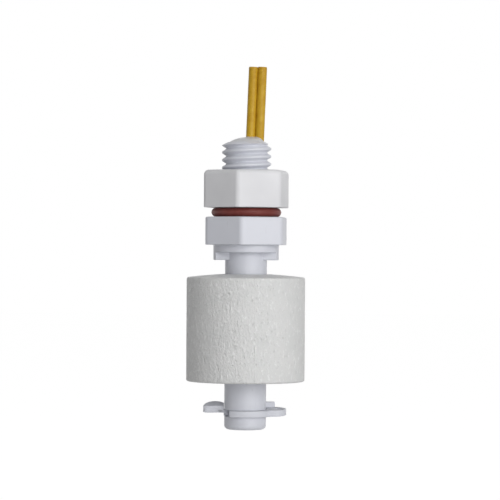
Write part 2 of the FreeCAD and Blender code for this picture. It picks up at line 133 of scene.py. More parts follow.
def quarter(size: float, steps: int) -> list[tuple[float, float]]:
    """Steps round a corner that is a quarter circle.

    Args:
        size: The circle's radius.
        steps: How many steps.

    Returns:
        For each step the radius times one less the cosine, and times one less the sine:
        the first grows from zero, the second shrinks to it.
    """
    return [(size * (1 - c), size * (1 - s)) for c, s in zip(*round_corner(0, 90, steps))]


def smooth_step(value: Array) -> Array:
    """A soft switch from 0 to 1: three times the square less twice the cube of the value."""
    held = np.clip(value, 0.0, 1.0)
    return held * held * (3.0 - 2.0 * held)


def ripple(angle: Array, height: Array, seed: int, length: float) -> Array:
    """A gentle unevenness over a round piece.

    The value is a sum of six sines, each of a whole number of waves round the axis plus
    a share of the height, with amplitudes that fall with the wave number.

    Args:
        angle: Angles about the axis in radians.
        height: Heights in millimetres.
        seed: Chooses the waves' phases.
        length: Height of one wave in millimetres.

    Returns:
        Values of about -1 to 1 in the shape that the arguments broadcast to.
    """
    chance = np.random.default_rng(seed)
    total = np.zeros(np.broadcast(angle, height).shape)
    for order in range(1, 7):
        phase, lean = chance.uniform(0, TURN), chance.uniform(-1, 1)
        total += np.sin((order + 1) * angle + lean * TURN * height / length + phase) / order
    return total / 2.0


@dataclass
class Surface:
    """Triangles gathered from grids of points, welded where they meet."""

    points: list[Array] = field(default_factory=list)
    faces: list[Array] = field(default_factory=list)

    def add_grid(self, grid: Array, wrap_rows: bool = False, wrap_columns: bool = True,
                 flip: bool = False) -> None:
        """Adds a grid of points as two triangles a cell.

        Args:
            grid: Points in millimetres, rows by columns by three.
            wrap_rows: Whether the last row meets the first.
            wrap_columns: Whether the last column meets the first.
            flip: Whether to turn the faces over.
        """
        rows, columns = grid.shape[:2]
        index = np.arange(rows * columns).reshape(rows, columns)
        down = np.roll(index, -1, 0) if wrap_rows else index[1:]
        here = index if wrap_rows else index[:-1]
        if wrap_columns:
            a, b = here, np.roll(here, -1, 1)
            d, c = down, np.roll(down, -1, 1)
        else:
            a, b, d, c = here[:, :-1], here[:, 1:], down[:, :-1], down[:, 1:]
        cells = np.stack([a, b, c, d], -1).reshape(-1, 4)
        triangles = np.concatenate([cells[:, [0, 1, 2]], cells[:, [0, 2, 3]]])
        if flip:
            triangles = triangles[:, ::-1]
        offset = sum(len(p) for p in self.points)
        self.points.append(grid.reshape(-1, 3))
        self.faces.append(triangles + offset)

    def build(self, name: str, crease: float = 40.0) -> bpy.types.Object:
        """Makes the object, with equal points welded and empty triangles dropped.

        Args:
            name: The object's name.
            crease: Edges that turn by more than this many degrees stay sharp.

        Returns:
            The object, at the origin.
        """
        points = np.concatenate(self.points)
        faces = np.concatenate(self.faces)
        kept, place = np.unique(np.round(points, POINT_DECIMALS), axis=0,
                                return_inverse=True)
        faces = place.reshape(-1)[faces]
        faces = faces[(faces != np.roll(faces, 1, axis=1)).all(axis=1)]
        mesh = bpy.data.meshes.new(name)
        mesh.from_pydata(kept * METRE, [], faces)
        mesh.validate()
        mesh.shade_smooth()
        mesh.set_sharp_from_angle(angle=math.radians(crease))
        made = bpy.data.objects.new(name, mesh)
        bpy.context.scene.collection.objects.link(made)
        return made


def points_at(angle: Array, radius: Value, height: Value) -> Array:
    """Points about the axis.

    Args:
        angle: Angles in radians.
        radius: Distance from the axis.
        height: Height along the axis.

    Returns:
        Points: the radius times the cosine, the radius times the sine, and the height.
    """
    place = np.broadcast_arrays(radius * np.cos(angle), radius * np.sin(angle), height)
    return np.stack(place, -1)


def turned(name: str, angle: Array, profile: Profile, crease: float, closed: bool = True,
           flip: bool = False) -> bpy.types.Object:
    """Carries a profile round the axis.

    Args:
        name: The object's name.
        angle: Angles in radians.
        profile: Its rings, one after another.
        crease: Edges that turn by more than this many degrees stay sharp.
        closed: Whether the last ring meets the first.
        flip: Whether to turn the faces over.

    Returns:
        The object.
    """
    grid = np.stack([points_at(angle, radius, height) for radius, height in profile])
    surface = Surface()
    surface.add_grid(grid, wrap_rows=closed, flip=flip)
    return surface.build(name, crease)


@dataclass(frozen=True)
class Hexagon:
    """A hexagon with rounded corners, centred on the axis."""

    flat: float
    corner: float
    turn: float

    def radius(self, angle: Array, inset: float = 0.0) -> Array:
        """Distance from the axis to the outline.

        With t the angle from the nearest face's normal, a straight part is half the
        flat over the cosine of t. Past the tangent point it is the far crossing with
        the corner's circle: c cos(30 - t) plus the root of R squared less the square of
        c sin(30 - t), c being the distance to the circle's middle and R its radius.

        Args:
            angle: Angles in radians.
            inset: How far the outline is drawn in on every side.

        Returns:
            The distances in millimetres.
        """
        half = self.flat / 2 - inset
        corner = max(self.corner - inset, TINY)
        sixth = math.pi / 3
        away = np.abs(np.mod(angle - math.radians(self.turn), sixth) - sixth / 2)
        middle = (half - corner) / math.cos(sixth / 2)
        tangent = math.atan((half - corner) * math.tan(sixth / 2) / half)
        across = middle * np.sin(sixth / 2 - away)
        bend = middle * np.cos(sixth / 2 - away) + np.sqrt(
            np.maximum(corner**2 - across**2, 0.0)
        )
        return np.where(away < tangent, half / np.cos(away), bend)

    def angles(self) -> Array:
        """Angles that are close together at the corners.

        Returns:
            Angles in radians.
        """
        reach = 4.6
        near = np.linspace(-reach, reach, 15)
        middles = np.arange(6)[:, None] * 60.0 + self.turn
        return np.radians(np.mod((middles + near).ravel(), 360.0))


@dataclass(frozen=True)
class Thread:
    """A right-hand thread, the same in the stem and, with play, in the nut."""

    crest: float = 4.85
    root: float = 4.08
    pitch: float = 1.5
    start: float = 1.07
    floor: float = 0.12
    flank: float = math.tan(math.radians(30.0))
    play: float = 0.12
    root_share: float = 1.4
    blur: float = 0.07

    def away(self, angle: Array, height: Array) -> tuple[Array, Array]:
        """Distance along the axis from the nearest groove's middle.

        The groove begins at the +Y side and climbs one pitch a turn, so its number at a
        point is the height over the pitch less the share of the turn.

        Args:
            angle: Angles in radians.
            height: Heights in millimetres.

        Returns:
            The distance in millimetres and the groove's number.
        """
        share = np.mod(angle - math.pi / 2, TURN) / TURN
        number = (height - self.start) / self.pitch - share
        nearest = np.round(number)
        return np.abs(number - nearest) * self.pitch, nearest

    def outside(self, angle: Array, height: Array) -> Array:
        """Radius of the stem's thread: the root plus the distance over the flank's slope.

        Three values a blur apart are averaged, which rounds the crest and the root.

        Args:
            angle: Angles in radians.
            height: Heights in millimetres.

        Returns:
            The radii.
        """
        away, number = self.away(angle, height)
        total = np.zeros(np.broadcast(angle, height).shape)
        for shift, weight in ((-self.blur, 0.25), (0.0, 0.5), (self.blur, 0.25)):
            rise = (np.abs(away + shift) - self.floor) / self.flank
            total += weight * np.clip(self.root + rise, self.root, self.crest)
        return np.where(number < 0, self.crest, total)

    def inside(self, angle: Array, height: Array) -> Array:
        """Radius of the nut's thread.

        Its flanks and its outermost radius stand off the stem's by the play, and its
        innermost radius by the root's share of the play.

        Args:
            angle: Angles in radians.
            height: Heights in millimetres.

        Returns:
            The radii.
        """
        away, _ = self.away(angle, height)
        slack = self.play / math.cos(math.atan(self.flank))
        rise = (away + slack - self.floor) / self.flank
        return np.clip(self.root + rise, self.root + self.root_share * self.play,
                       self.crest + self.play)


# Node trees


@dataclass
class Wiring:
    """Places and joins the nodes of one tree."""

    tree: bpy.types.NodeTree

    def node(self, kind: str, **settings: object) -> bpy.types.Node:
        """Adds a node.

        Args:
            kind: The node's type, without its leading ShaderNode.
            settings: Attributes, and under the name inputs a dictionary of socket values.

        Returns:
            The node.
        """
        made = self.tree.nodes.new("ShaderNode" + kind)
        for socket, value in dict(settings.pop("inputs", {})).items():
            made.inputs[socket].default_value = value
        for name, value in settings.items():
            setattr(made, name, value)
        return made

    def feed(self, source: object, target: Socket) -> None:
        """Joins a socket to an input, or sets the input to a plain value.

        Args:
            source: A socket or a plain value.
            target: The input.
        """
        if isinstance(source, Socket):
            self.tree.links.new(source, target)
        else:
            target.default_value = source

    def place(self, stretch: Colour = (1.0, 1.0, 1.0), turn: Colour = (0.0, 0.0, 0.0),
              vector: Socket | None = None) -> Socket:
        """Object coordinates, stretched and turned.

        Args:
            stretch: Factor on each axis.
            turn: Rotation in radians.
            vector: Coordinates to use in place of the object's own.

        Returns:
            The mapped coordinates.
        """
        source = vector or self.node("TexCoord").outputs["Object"]
        mapping = self.node("Mapping", inputs={"Scale": stretch, "Rotation": turn})
        self.feed(source, mapping.inputs["Vector"])
        return mapping.outputs["Vector"]

    def noise(self, vector: Socket, size: object, detail: float = 3.0,
              roughness: float = 0.55) -> Socket:
        """Noise whose features are a given size.

        Args:
            vector: Coordinates in metres.
            size: Feature size in millimetres, or a socket that gives the scale.
            detail: Octaves.
            roughness: Share of each finer octave.

        Returns:
            The noise value.
        """
        made = self.node("TexNoise", inputs={"Detail": detail, "Roughness": roughness})
        self.feed(vector, made.inputs["Vector"])
        scale = size if isinstance(size, Socket) else texture_scale(size)
        self.feed(scale, made.inputs["Scale"])
        return made.outputs["Fac"]

    def spread(self, value: Socket, low: float, high: float,
               to_low: float = 0.0, to_high: float = 1.0) -> Socket:
        """Maps a range of a value to another range, held at both ends.

        Args:
            value: The value.
            low: Start of its range.
            high: End of its range.
            to_low: What the start becomes.
            to_high: What the end becomes.

        Returns:
            The mapped value.
        """
        made = self.node("MapRange", inputs={
            "From Min": low, "From Max": high, "To Min": to_low, "To Max": to_high})
        self.feed(value, made.inputs["Value"])
        return made.outputs["Result"]

    def maths(self, operation: str, first: object, second: object) -> Socket:
        """One operation on two values or sockets.

        Args:
            operation: The node's operation.
            first: A value or a socket.
            second: A value or a socket.

        Returns:
            What comes out.
        """
        made = self.node("Math", operation=operation)
        self.feed(first, made.inputs[0])
        self.feed(second, made.inputs[1])
        return made.outputs["Value"]

    def blend(self, factor: object, first: object, second: object) -> Socket:
        """Mixes two colours.

        Args:
            factor: Share of the second colour.
            first: A colour or a socket.
            second: A colour or a socket.

        Returns:
            The mixed colour.
        """
        made = self.node("Mix", data_type="RGBA")
        self.feed(factor, made.inputs[0])
        for socket, colour in ((made.inputs[6], first), (made.inputs[7], second)):
            is_socket = isinstance(colour, Socket)
            self.feed(colour if is_socket else (*colour, 1.0), socket)
        return made.outputs[2]

    def bump(self, height: Socket, depth: float, strength: float = 1.0,
             normal: Socket | None = None) -> Socket:
        """A normal from a height.

        Args:
            height: The height from 0 to 1.
            depth: Depth in millimetres.
            strength: Share of the effect.
            normal: A normal to add to.

        Returns:
            The normal.
        """
        made = self.node("Bump", inputs={"Strength": strength, "Distance": depth * METRE})
        self.feed(height, made.inputs["Height"])
        if normal:
            self.feed(normal, made.inputs["Normal"])
        return made.outputs["Normal"]

    def group(self, tree: bpy.types.NodeTree, **values: object) -> bpy.types.Node:
        """Places a node group and feeds its inputs, whose names start with a capital.

        Args:
            tree: The group.
            values: A value or a socket for each input.

        Returns:
            The group's node.
        """
        made = self.node("Group", node_tree=tree)
        for name, value in values.items():
            self.feed(value, made.inputs[name.title()])
        return made


def cleared(owner: bpy.types.Material | bpy.types.World) -> Wiring:
    """Turns on the nodes of a material or a world, and clears them.

    Args:
        owner: The material or the world.

    Returns:
        The wiring of its empty tree.
    """
    owner.use_nodes = True
    owner.node_tree.nodes.clear()
    return Wiring(owner.node_tree)


def new_group(name: str, inputs: dict[str, object], outputs: tuple[str, ...]) -> tuple[
        Wiring, bpy.types.NodeOutputs, bpy.types.NodeInputs]:
    """Starts a shader node group.

    Args:
        name: The group's name.
        inputs: Each input's name and default, where None makes it a vector.
        outputs: Names of the values that it puts out.

    Returns:
        Its wiring, the sockets that bring its inputs and those that take its outputs.
    """
    tree = bpy.data.node_groups.new(name, "ShaderNodeTree")
    for label, value in inputs.items():
        kind = "NodeSocketVector" if value is None else "NodeSocketFloat"
        made = tree.interface.new_socket(label, in_out="INPUT", socket_type=kind)
        if value is not None:
            made.default_value = value
    for label in outputs:
        tree.interface.new_socket(label, in_out="OUTPUT", socket_type="NodeSocketFloat")
    source, sink = tree.nodes.new("NodeGroupInput"), tree.nodes.new("NodeGroupOutput")
    return Wiring(tree), source.outputs, sink.inputs


@dataclass
class Effects:
    """Node groups that more than one finish uses."""

    skin: bpy.types.NodeTree = field(init=False)
    marks: bpy.types.NodeTree = field(init=False)
    draw: bpy.types.NodeTree = field(init=False)
    flow_range: Range = (0.3, 0.7)
    rub: float = 0.5
    rub_range: Range = (0.64, 0.72)
    handled: float = 3.2
    handled_range: Range = (0.5, 0.66)
    speck: float = 0.32
    speck_range: Range = (0.74, 0.8)
    speck_share: float = 0.7
    patch: float = 1.6
    patch_range: Range = (0.35, 0.65)

    def __post_init__(self) -> None:
        """Builds each group once."""
        self.skin = self.build_skin()
        self.marks = self.build_marks()
        self.draw = self.build_draw()

    def build_skin(self) -> bpy.types.NodeTree:
        """Skin of a moulded piece: a fine grain laid over slow sink and flow.

        Returns:
            A group that takes Vector, the scales Grain and Flow, and the Share of the
            grain in the height, and puts out Height and Shade.
        """
        wiring, source, sink = new_group(
            "moulded_skin", {"Vector": None, "Grain": 3500.0, "Flow": 220.0, "Share": 0.4},
            ("Height", "Shade"))
        grain = wiring.noise(source["Vector"], source["Grain"], detail=4.0, roughness=0.6)
        flow = wiring.noise(source["Vector"], source["Flow"], detail=2.0, roughness=0.45)
        part = wiring.maths("MULTIPLY", grain, source["Share"])
        wiring.feed(wiring.maths("ADD", part, flow), sink["Height"])
        wiring.feed(wiring.spread(flow, *self.flow_range), sink["Shade"])
        return wiring.tree

    def build_marks(self) -> bpy.types.NodeTree:
        """Thin rubs and specks that handling leaves on a pale piece.

        Returns:
            A group that takes Vector and Amount and puts out Mask and Depth.
        """
        wiring, source, sink = new_group(
            "handling_marks", {"Vector": None, "Amount": 0.5}, ("Mask", "Depth"))
        slant = wiring.place(stretch=(1.0, 1.0, 0.22), turn=(0.5, 0.35, 0.0),
                             vector=source["Vector"])
        rubs = wiring.spread(wiring.noise(slant, self.rub, detail=2.0), *self.rub_range)
        handled = wiring.noise(source["Vector"], self.handled, detail=2.0)
        both = wiring.maths("MULTIPLY", rubs, wiring.spread(handled, *self.handled_range))
        specks = wiring.noise(source["Vector"], self.speck, detail=1.0)
        faint = wiring.maths("MULTIPLY", wiring.spread(specks, *self.speck_range),
                             self.speck_share)
        total = wiring.maths("MAXIMUM", both, faint)
        wiring.feed(wiring.maths("MULTIPLY", total, source["Amount"]), sink["Mask"])
        wiring.feed(wiring.maths("SUBTRACT", 1.0, both), sink["Depth"])
        return wiring.tree

    def build_draw(self) -> bpy.types.NodeTree:
        """Fine lines along a drawn wire or an extruded cover, which run up the Z axis.

        Returns:
            A group that takes Vector and the scale Lines, and puts out Height and Shade.
        """
        wiring, source, sink = new_group(
            "drawn_lines", {"Vector": None, "Lines": 9000.0}, ("Height", "Shade"))
        long = wiring.place(stretch=(1.0, 1.0, 0.03), vector=source["Vector"])
        lines = wiring.noise(long, source["Lines"], detail=2.0, roughness=0.5)
        patches = wiring.noise(source["Vector"], self.patch)
        wiring.feed(wiring.maths("ADD", lines, patches), sink["Height"])
        wiring.feed(wiring.spread(patches, *self.patch_range), sink["Shade"])
        return wiring.tree


@dataclass(frozen=True)
class Finish:
    """What every finish has: a name, a main colour and a second one that varies it."""

    name: str
    colour: Colour
    second: Colour
    roughness: float = 0.5
    specular: float = 0.5

    def build(self, effects: Effects) -> bpy.types.Material:
        """Builds the material.

        Args:
            effects: Groups that finishes share.

        Returns:
            A material with one Principled shader, fed by the finish's own layers.
        """
        made = bpy.data.materials.new(self.name)
        made.diffuse_color = (*self.colour, 1.0)
        wiring = cleared(made)
        shader = wiring.node("BsdfPrincipled", inputs={
            "Roughness": self.roughness, "Specular IOR Level": self.specular})
        output = wiring.node("OutputMaterial")
        wiring.feed(shader.outputs["BSDF"], output.inputs["Surface"])
        for name, source in self.layers(wiring, effects).items():
            wiring.feed(source, shader.inputs[name])
        return made

    def layers(self, wiring: Wiring, effects: Effects) -> dict[str, object]:
        """Makes the nodes of one kind of finish.

        Args:
            wiring: Wiring of the material.
            effects: Groups that finishes share.

        Returns:
            A socket or a value for each of the shader's inputs that it sets.
        """
        raise NotImplementedError

    def tinted(self, share: float) -> Colour:
        """The main colour times a share, at most 1."""
        return tuple(min(1.0, share * channel) for channel in self.colour)

    def worn(self, wiring: Wiring, shade: Socket, low: float, high: float) -> Socket:
        """Roughness that varies with a shade.

        Args:
            wiring: Wiring of the material.
            shade: A value from 0 to 1.
            low: Added to the roughness where the shade is 0.
            high: Added to the roughness where the shade is 1.

        Returns:
            The roughness.
        """
        return wiring.spread(shade, 0.0, 1.0, self.roughness + low, self.roughness + high)


@dataclass(frozen=True)
class MouldedFinish(Finish):
    """Solid moulded plastic with a satin skin."""

    grain: float = 0.28
    flow: float = 4.5
    depth: float = 0.012
    marks: float = 0.35
    grain_share: float = 0.5
    rub_tone: float = 0.8
    rub_depth: float = 0.008

    def layers(self, wiring: Wiring, effects: Effects) -> dict[str, object]:
        """Grain and rubs in the height, flow and rubs in the colour, flow in the roughness.

        Args:
            wiring: Wiring of the material.
            effects: Groups that finishes share.

        Returns:
            What feeds the shader's inputs.
        """
        vector = wiring.place()
        skin = wiring.group(effects.skin, vector=vector, grain=texture_scale(self.grain),
                            flow=texture_scale(self.flow), share=self.grain_share)
        marks = wiring.group(effects.marks, vector=vector, amount=self.marks)
        tone = wiring.blend(skin.outputs["Shade"], self.colour, self.second)
        return {
            "Base Color": wiring.blend(marks.outputs["Mask"], tone, self.tinted(self.rub_tone)),
            "Roughness": self.worn(wiring, skin.outputs["Shade"], low=-0.05, high=0.06),
            "Normal": wiring.bump(marks.outputs["Depth"], self.rub_depth, strength=0.6,
                                  normal=wiring.bump(skin.outputs["Height"], self.depth)),
        }


@dataclass(frozen=True)
class FoamFinish(Finish):
    """Foamed plastic: a rough skin with upright splay streaks and small pits."""

    streak: float = 0.55
    # Painted glint: over this range of the streak noise the colour is lightened by the factor
    # below, on the streaks' raised tops
    glint_range: Range = (0.56, 0.66)
    glint_tone: float = 1.2
    satin_range: Range = (0.4, 0.7)
    fine: float = 0.35
    fine_share: float = 0.7
    patch: float = 6.0
    patch_range: Range = (0.35, 0.65)
    pit: float = 0.42
    pit_range: Range = (0.26, 0.34)
    # Painted shade: factor on the colour in the pits, where the height sinks
    pit_shade: float = 0.93
    pit_share: float = 0.35
    depth: float = 0.24

    def layers(self, wiring: Wiring, effects: Effects) -> dict[str, object]:
        """Streaks, pits and fine grain in the height; in the colour, painted glints on the
        streaks' raised tops and painted shade in the pits.

        Args:
            wiring: Wiring of the material.
            effects: Groups that finishes share; not used here.

        Returns:
            What feeds the shader's inputs.
        """
        plain = wiring.place()
        slant = wiring.place(stretch=(1.0, 1.0, 0.55), turn=(0.0, 0.2, 0.1))
        streaks = wiring.noise(slant, self.streak, detail=4.0, roughness=0.7)
        fine = wiring.noise(slant, self.fine, detail=2.0, roughness=0.6)
        patches = wiring.spread(wiring.noise(plain, self.patch, detail=2.0), *self.patch_range)
        pits = wiring.spread(wiring.noise(slant, self.pit, detail=1.0), *self.pit_range)
        # Painted glint: the raised streak tops are lightened in the colour
        painted_glint = wiring.spread(streaks, *self.glint_range)
        tone = wiring.blend(patches, self.colour, self.second)
        tone = wiring.blend(painted_glint, tone, self.tinted(self.glint_tone))
        # Painted shade: the pits are darkened in the colour
        tone = wiring.blend(wiring.maths("SUBTRACT", 1.0, pits), tone,
                            self.tinted(self.pit_shade))
        rough = wiring.spread(streaks, *self.satin_range, to_low=self.roughness + 0.08,
                              to_high=self.roughness - 0.12)
        body = wiring.maths("ADD", streaks, wiring.maths("MULTIPLY", fine, self.fine_share))
        body = wiring.maths("ADD", body, wiring.maths("MULTIPLY", pits, self.pit_share))
        return {"Base Color": tone, "Roughness": rough, "Normal": wiring.bump(body, self.depth)}


@dataclass(frozen=True)
class RubberFinish(Finish):
    """Moulded rubber with faint bloom in patches."""

    grain_scale: float = 5200.0
    flow_scale: float = 420.0
    grain_share: float = 0.9
    bloom: float = 1.3
    bloom_range: Range = (0.42, 0.72)
    depth: float = 0.02

    def layers(self, wiring: Wiring, effects: Effects) -> dict[str, object]:
        """Bloom in the colour and the roughness, a fine grain in the height.

        Args:
            wiring: Wiring of the material.
            effects: Groups that finishes share.

        Returns:
            What feeds the shader's inputs.
        """
        vector = wiring.place()
        skin = wiring.group(effects.skin, vector=vector, grain=self.grain_scale,
                            flow=self.flow_scale, share=self.grain_share)
        bloom = wiring.spread(wiring.noise(vector, self.bloom, detail=4.0), *self.bloom_range)
        return {
            "Base Color": wiring.blend(bloom, self.colour, self.second),
            "Roughness": self.worn(wiring, bloom, low=0.0, high=0.2),
            "Normal": wiring.bump(skin.outputs["Height"], self.depth),
        }


@dataclass(frozen=True)
class DrawnFinish(Finish):
    """A drawn wire or an extruded cover."""

    metallic: float = 0.0
    lines: float = 0.11
    depth: float = 0.01

    def layers(self, wiring: Wiring, effects: Effects) -> dict[str, object]:
        """Lines in the height, patches in the colour and the roughness.

        Args:
            wiring: Wiring of the material.
            effects: Groups that finishes share.

        Returns:
            What feeds the shader's inputs.
        """
        drawn = wiring.group(effects.draw, vector=wiring.place(),
                             lines=texture_scale(self.lines))
        return {
            "Metallic": self.metallic,
            "Base Color": wiring.blend(drawn.outputs["Shade"], self.colour, self.second),
            "Roughness": self.worn(wiring, drawn.outputs["Shade"], low=-0.06, high=0.08),
            "Normal": wiring.bump(drawn.outputs["Height"], self.depth),
        }


@dataclass(frozen=True)
class CastFinish(Finish):
    """Resin, solder and sintered ferrite: a set skin with small pits."""

    metallic: float = 0.0
    grain: float = 0.5
    flow_scale: float = 600.0
    grain_share: float = 0.7
    pit_range: Range = (0.28, 0.38)
    # Painted shade: factor on the colour in the pits, where the height sinks
    pit_shade: float = 0.85
    depth: float = 0.02

    def layers(self, wiring: Wiring, effects: Effects) -> dict[str, object]:
        """Pits in the height, and painted shade in the pits in the colour.

        Args:
            wiring: Wiring of the material.
            effects: Groups that finishes share.

        Returns:
            What feeds the shader's inputs.
        """
        vector = wiring.place()
        skin = wiring.group(effects.skin, vector=vector, grain=texture_scale(self.grain),
                            flow=self.flow_scale, share=self.grain_share)
        pits = wiring.spread(wiring.noise(vector, self.grain, detail=2.0), *self.pit_range)
        tone = wiring.blend(skin.outputs["Shade"], self.colour, self.second)
        return {
            "Metallic": self.metallic,
            # Painted shade: the colour darkens in the pits
            "Base Color": wiring.blend(pits, self.tinted(self.pit_shade), tone),
            "Normal": wiring.bump(wiring.maths("ADD", skin.outputs["Height"], pits), self.depth),
        }


@dataclass(frozen=True)
class GlassFinish(Finish):
    """Clear tinted glass with faint draw waves."""

    index: float = 1.5
    wave_scale: float = 1500.0
    depth: float = 0.004

    def layers(self, wiring: Wiring, effects: Effects) -> dict[str, object]:
        """Waves in the height and a tint in the colour.

        Args:
            wiring: Wiring of the material.
            effects: Groups that finishes share.

        Returns:
            What feeds the shader's inputs.
        """
        drawn = wiring.group(effects.draw, vector=wiring.place(), lines=self.wave_scale)
        return {
            "Transmission Weight": 1.0,
            "IOR": self.index,
            "Base Color": wiring.blend(drawn.outputs["Shade"], self.colour, self.second),
            "Normal": wiring.bump(drawn.outputs["Height"], self.depth),
        }


class Paint(Enum):
    """Each finish of the switch, by what it covers."""

    STEM = MouldedFinish("stem_plastic", (0.675, 0.688, 0.745), (0.70, 0.712, 0.768), 0.42, 0.5)
    NUT = MouldedFinish("nut_plastic", (0.79, 0.79, 0.81), (0.74, 0.74, 0.76), 0.46, 0.4,
                        grain=0.4, flow=6.0, depth=0.014)
    FLOAT = FoamFinish("float_foam", (0.73, 0.735, 0.73), (0.76, 0.76, 0.755), 0.5, 0.5)
    SEAL = RubberFinish("seal_rubber", (0.17, 0.034, 0.027), (0.20, 0.052, 0.044), 0.42, 0.3)
    LEAD = DrawnFinish("lead_insulation", (0.58, 0.36, 0.02), (0.50, 0.28, 0.012), 0.45, 0.3)
    COPPER = DrawnFinish("lead_copper", (0.72, 0.36, 0.22), (0.55, 0.24, 0.13), 0.35,
                         metallic=1.0)
    RESIN = CastFinish("potting_resin", (0.60, 0.61, 0.635), (0.66, 0.67, 0.695), 0.35, 0.5)
    FERRITE = CastFinish("magnet_ferrite", (0.035, 0.035, 0.04), (0.05, 0.05, 0.055), 0.6,
                         0.4, grain=0.3)
    SOLDER = CastFinish("solder", (0.55, 0.55, 0.56), (0.42, 0.42, 0.44), 0.3,
                        metallic=1.0, grain=0.4)
    REED = DrawnFinish("reed_metal", (0.62, 0.60, 0.55), (0.5, 0.48, 0.44), 0.3,
                       metallic=1.0)
    GLASS = GlassFinish("reed_glass", (0.86, 0.95, 0.9), (0.8, 0.92, 0.86), 0.05, 0.5)
    SLEEVE = MouldedFinish("sleeve_plastic", (0.02, 0.02, 0.022), (0.035, 0.035, 0.037), 0.4)
    CUSHION = RubberFinish("cushion_rubber", (0.55, 0.55, 0.52), (0.62, 0.62, 0.6), 0.5)


@dataclass
class Dresser:
    """Builds each finish once and puts pieces on their bodies."""

    effects: Effects = field(default_factory=Effects)
    made: dict[Paint, bpy.types.Material] = field(default_factory=dict)

    def paint(self, piece: bpy.types.Object, paint: Paint) -> None:
        """Gives a piece its finish.

        Args:
            piece: The object to paint.
            paint: Which finish.
        """
        if paint not in self.made:
            self.made[paint] = paint.value.build(self.effects)
        if piece.material_slots:
            for slot in piece.material_slots:
                slot.link = "DATA"
                slot.material = self.made[paint]
        else:
            piece.data.materials.append(self.made[paint])

    def seat(self, piece: bpy.types.Object, body: Body, paint: Paint, *nodes: str) -> None:
        """Paints a new piece, rides it on its body and hides the nodes it stands for.

        Args:
            piece: The new object.
            body: The body that carries it.
            paint: Its finish.
            nodes: CAD nodes that it replaces.
        """
        self.paint(piece, paint)
        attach(piece, body.value)
        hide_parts(*nodes)
        LOG.info("%s: %d faces on %s", piece.name, len(piece.data.polygons), body.value)


# Sub-assemblies


@dataclass
class Stem:
    """The moulded stem: blind bore, thread, hexagon, shoulder with its stops and shank."""

    thread: Thread = field(default_factory=Thread)
    hexagon: Hexagon = Hexagon(15.3, 1.25, 24.0)
    flange_height: float = 5.5
    brim: float = 0.35
    bore: float = 2.7
    bore_end: float = -36.0
    bore_top: float = 6.2
    mouth: float = 3.5
    mouth_floor: float = 7.0
    mouth_middle: float = 12.0
    mouth_height: float = 14.75
    mouth_edge: float = 0.05
    rim: float = 3.7
    cone_height: float = 14.15
    thread_step: float = 0.06
    shoulder: float = 6.45
    shoulder_low: float = -7.0
    stop_low: float = -8.5
    stop_half: float = 2.5
    radius: float = 4.12
    groove: float = 3.3
    groove_high: float = -37.95
    groove_low: float = -39.3
    tip: float = -41.85
    tip_round: float = 0.85
    nick: float = 0.12
    deep_nick: float = 0.15

    def stops(self, angle: Array, inset: float = 0.0) -> Array:
        """Outline of the shank with its two stops.

        It is the shoulder's radius where that is nearer the X axis than the stop's half
        width, the shank's radius where the stop's side would lie inside it, and between
        them the half width over the sine of the angle.

        Args:
            angle: Angles in radians.
            inset: How far the outline is drawn in beside and outside the stops.

        Returns:
            The radii.
        """
        side = (self.stop_half - inset) / np.maximum(np.abs(np.sin(angle)), TINY)
        return np.clip(side, self.radius, self.shoulder - inset)

    def angles(self) -> Array:
        """Angles for every ring, close together at the corners and the stops.

        Returns:
            Angles in radians.
        """
        reach = [math.degrees(math.asin(self.stop_half / r)) for r in (self.shoulder, self.radius)]
        spare = 0.6
        near = np.concatenate([np.linspace(reach[0] - spare, reach[1] + spare, 9), reach])
        sides = np.concatenate([near, 180 - near, 180 + near, 360 - near])
        return gather(around(176), self.hexagon.angles(), np.radians(sides))

    def threaded(self, angle: Array) -> Profile:
        """Profile of the mouth, its rim and the thread, from the bore's top outwards.

        The radius is the smaller of the thread's and the end cone's.

        Args:
            angle: Angles in radians.

        Returns:
            Its radii and heights.
        """
        high, edge, step = self.mouth_height, self.mouth_edge, self.thread_step
        profile = [(self.mouth, z) for z in (self.mouth_floor, self.mouth_middle, high - step)]
        profile += [(self.mouth + edge, high - step / 6), (self.rim - edge, high)]
        slope = (self.thread.crest - self.rim) / (high - self.cone_height)
        for z in np.arange(high - step / 3, step / 2, -step):
            cone = self.rim + (high - z) * slope
            profile.append((np.minimum(self.thread.outside(angle, z), cone), z))
        return profile

    def build(self) -> bpy.types.Object:
        """A profile carried from the end of the bore up to the mouth and down to the tip.

        The brim and the tip are quarter circles, and the other edges are broken by a nick.

        Returns:
            The object.
        """
        angle = self.angles()
        stops = self.stops(angle)
        low, nick, deep = -self.flange_height, self.nick, self.deep_nick
        profile = [(0.0, self.bore_end), (self.bore, self.bore_end), (self.bore, self.bore_top),
                   *self.threaded(angle), (self.thread.crest, 0.0)]
        profile += [(self.hexagon.radius(angle, inset), -drop)
                    for drop, inset in quarter(self.brim, steps=6)]
        profile += [
            (self.hexagon.radius(angle), low + nick),
            (self.hexagon.radius(angle, nick), low),
            (self.shoulder + deep, low),
            (self.shoulder, low - nick),
            (self.shoulder, self.shoulder_low + nick),
            (np.maximum(self.shoulder - nick, stops - HAIR), self.shoulder_low),
            (stops, self.shoulder_low),
            (stops, self.stop_low + deep),
            (self.stops(angle, nick), self.stop_low),
            (self.radius, self.stop_low),
        ]
        shank = np.linspace(self.stop_low - 0.5, self.groove_high, 14)
        end = np.linspace(self.groove_low, self.tip + self.tip_round, 8)
        profile += [(self.radius, z) for z in shank]
        profile += [(self.groove, z) for z in (self.groove_high, self.groove_low)]
        profile += [(self.radius, z) for z in end]
        profile += [(self.radius - inset, self.tip + rise)
                    for inset, rise in quarter(self.tip_round, steps=9)]
        profile.append((0.0, self.tip))
        return turned("moulded_stem", angle, profile, crease=35.0, closed=False, flip=True)

    def dress(self, dresser: Dresser) -> None:
        """Builds the stem and paints it."""
        dresser.seat(self.build(), Body.SWITCH, Paint.STEM, "stem_body")


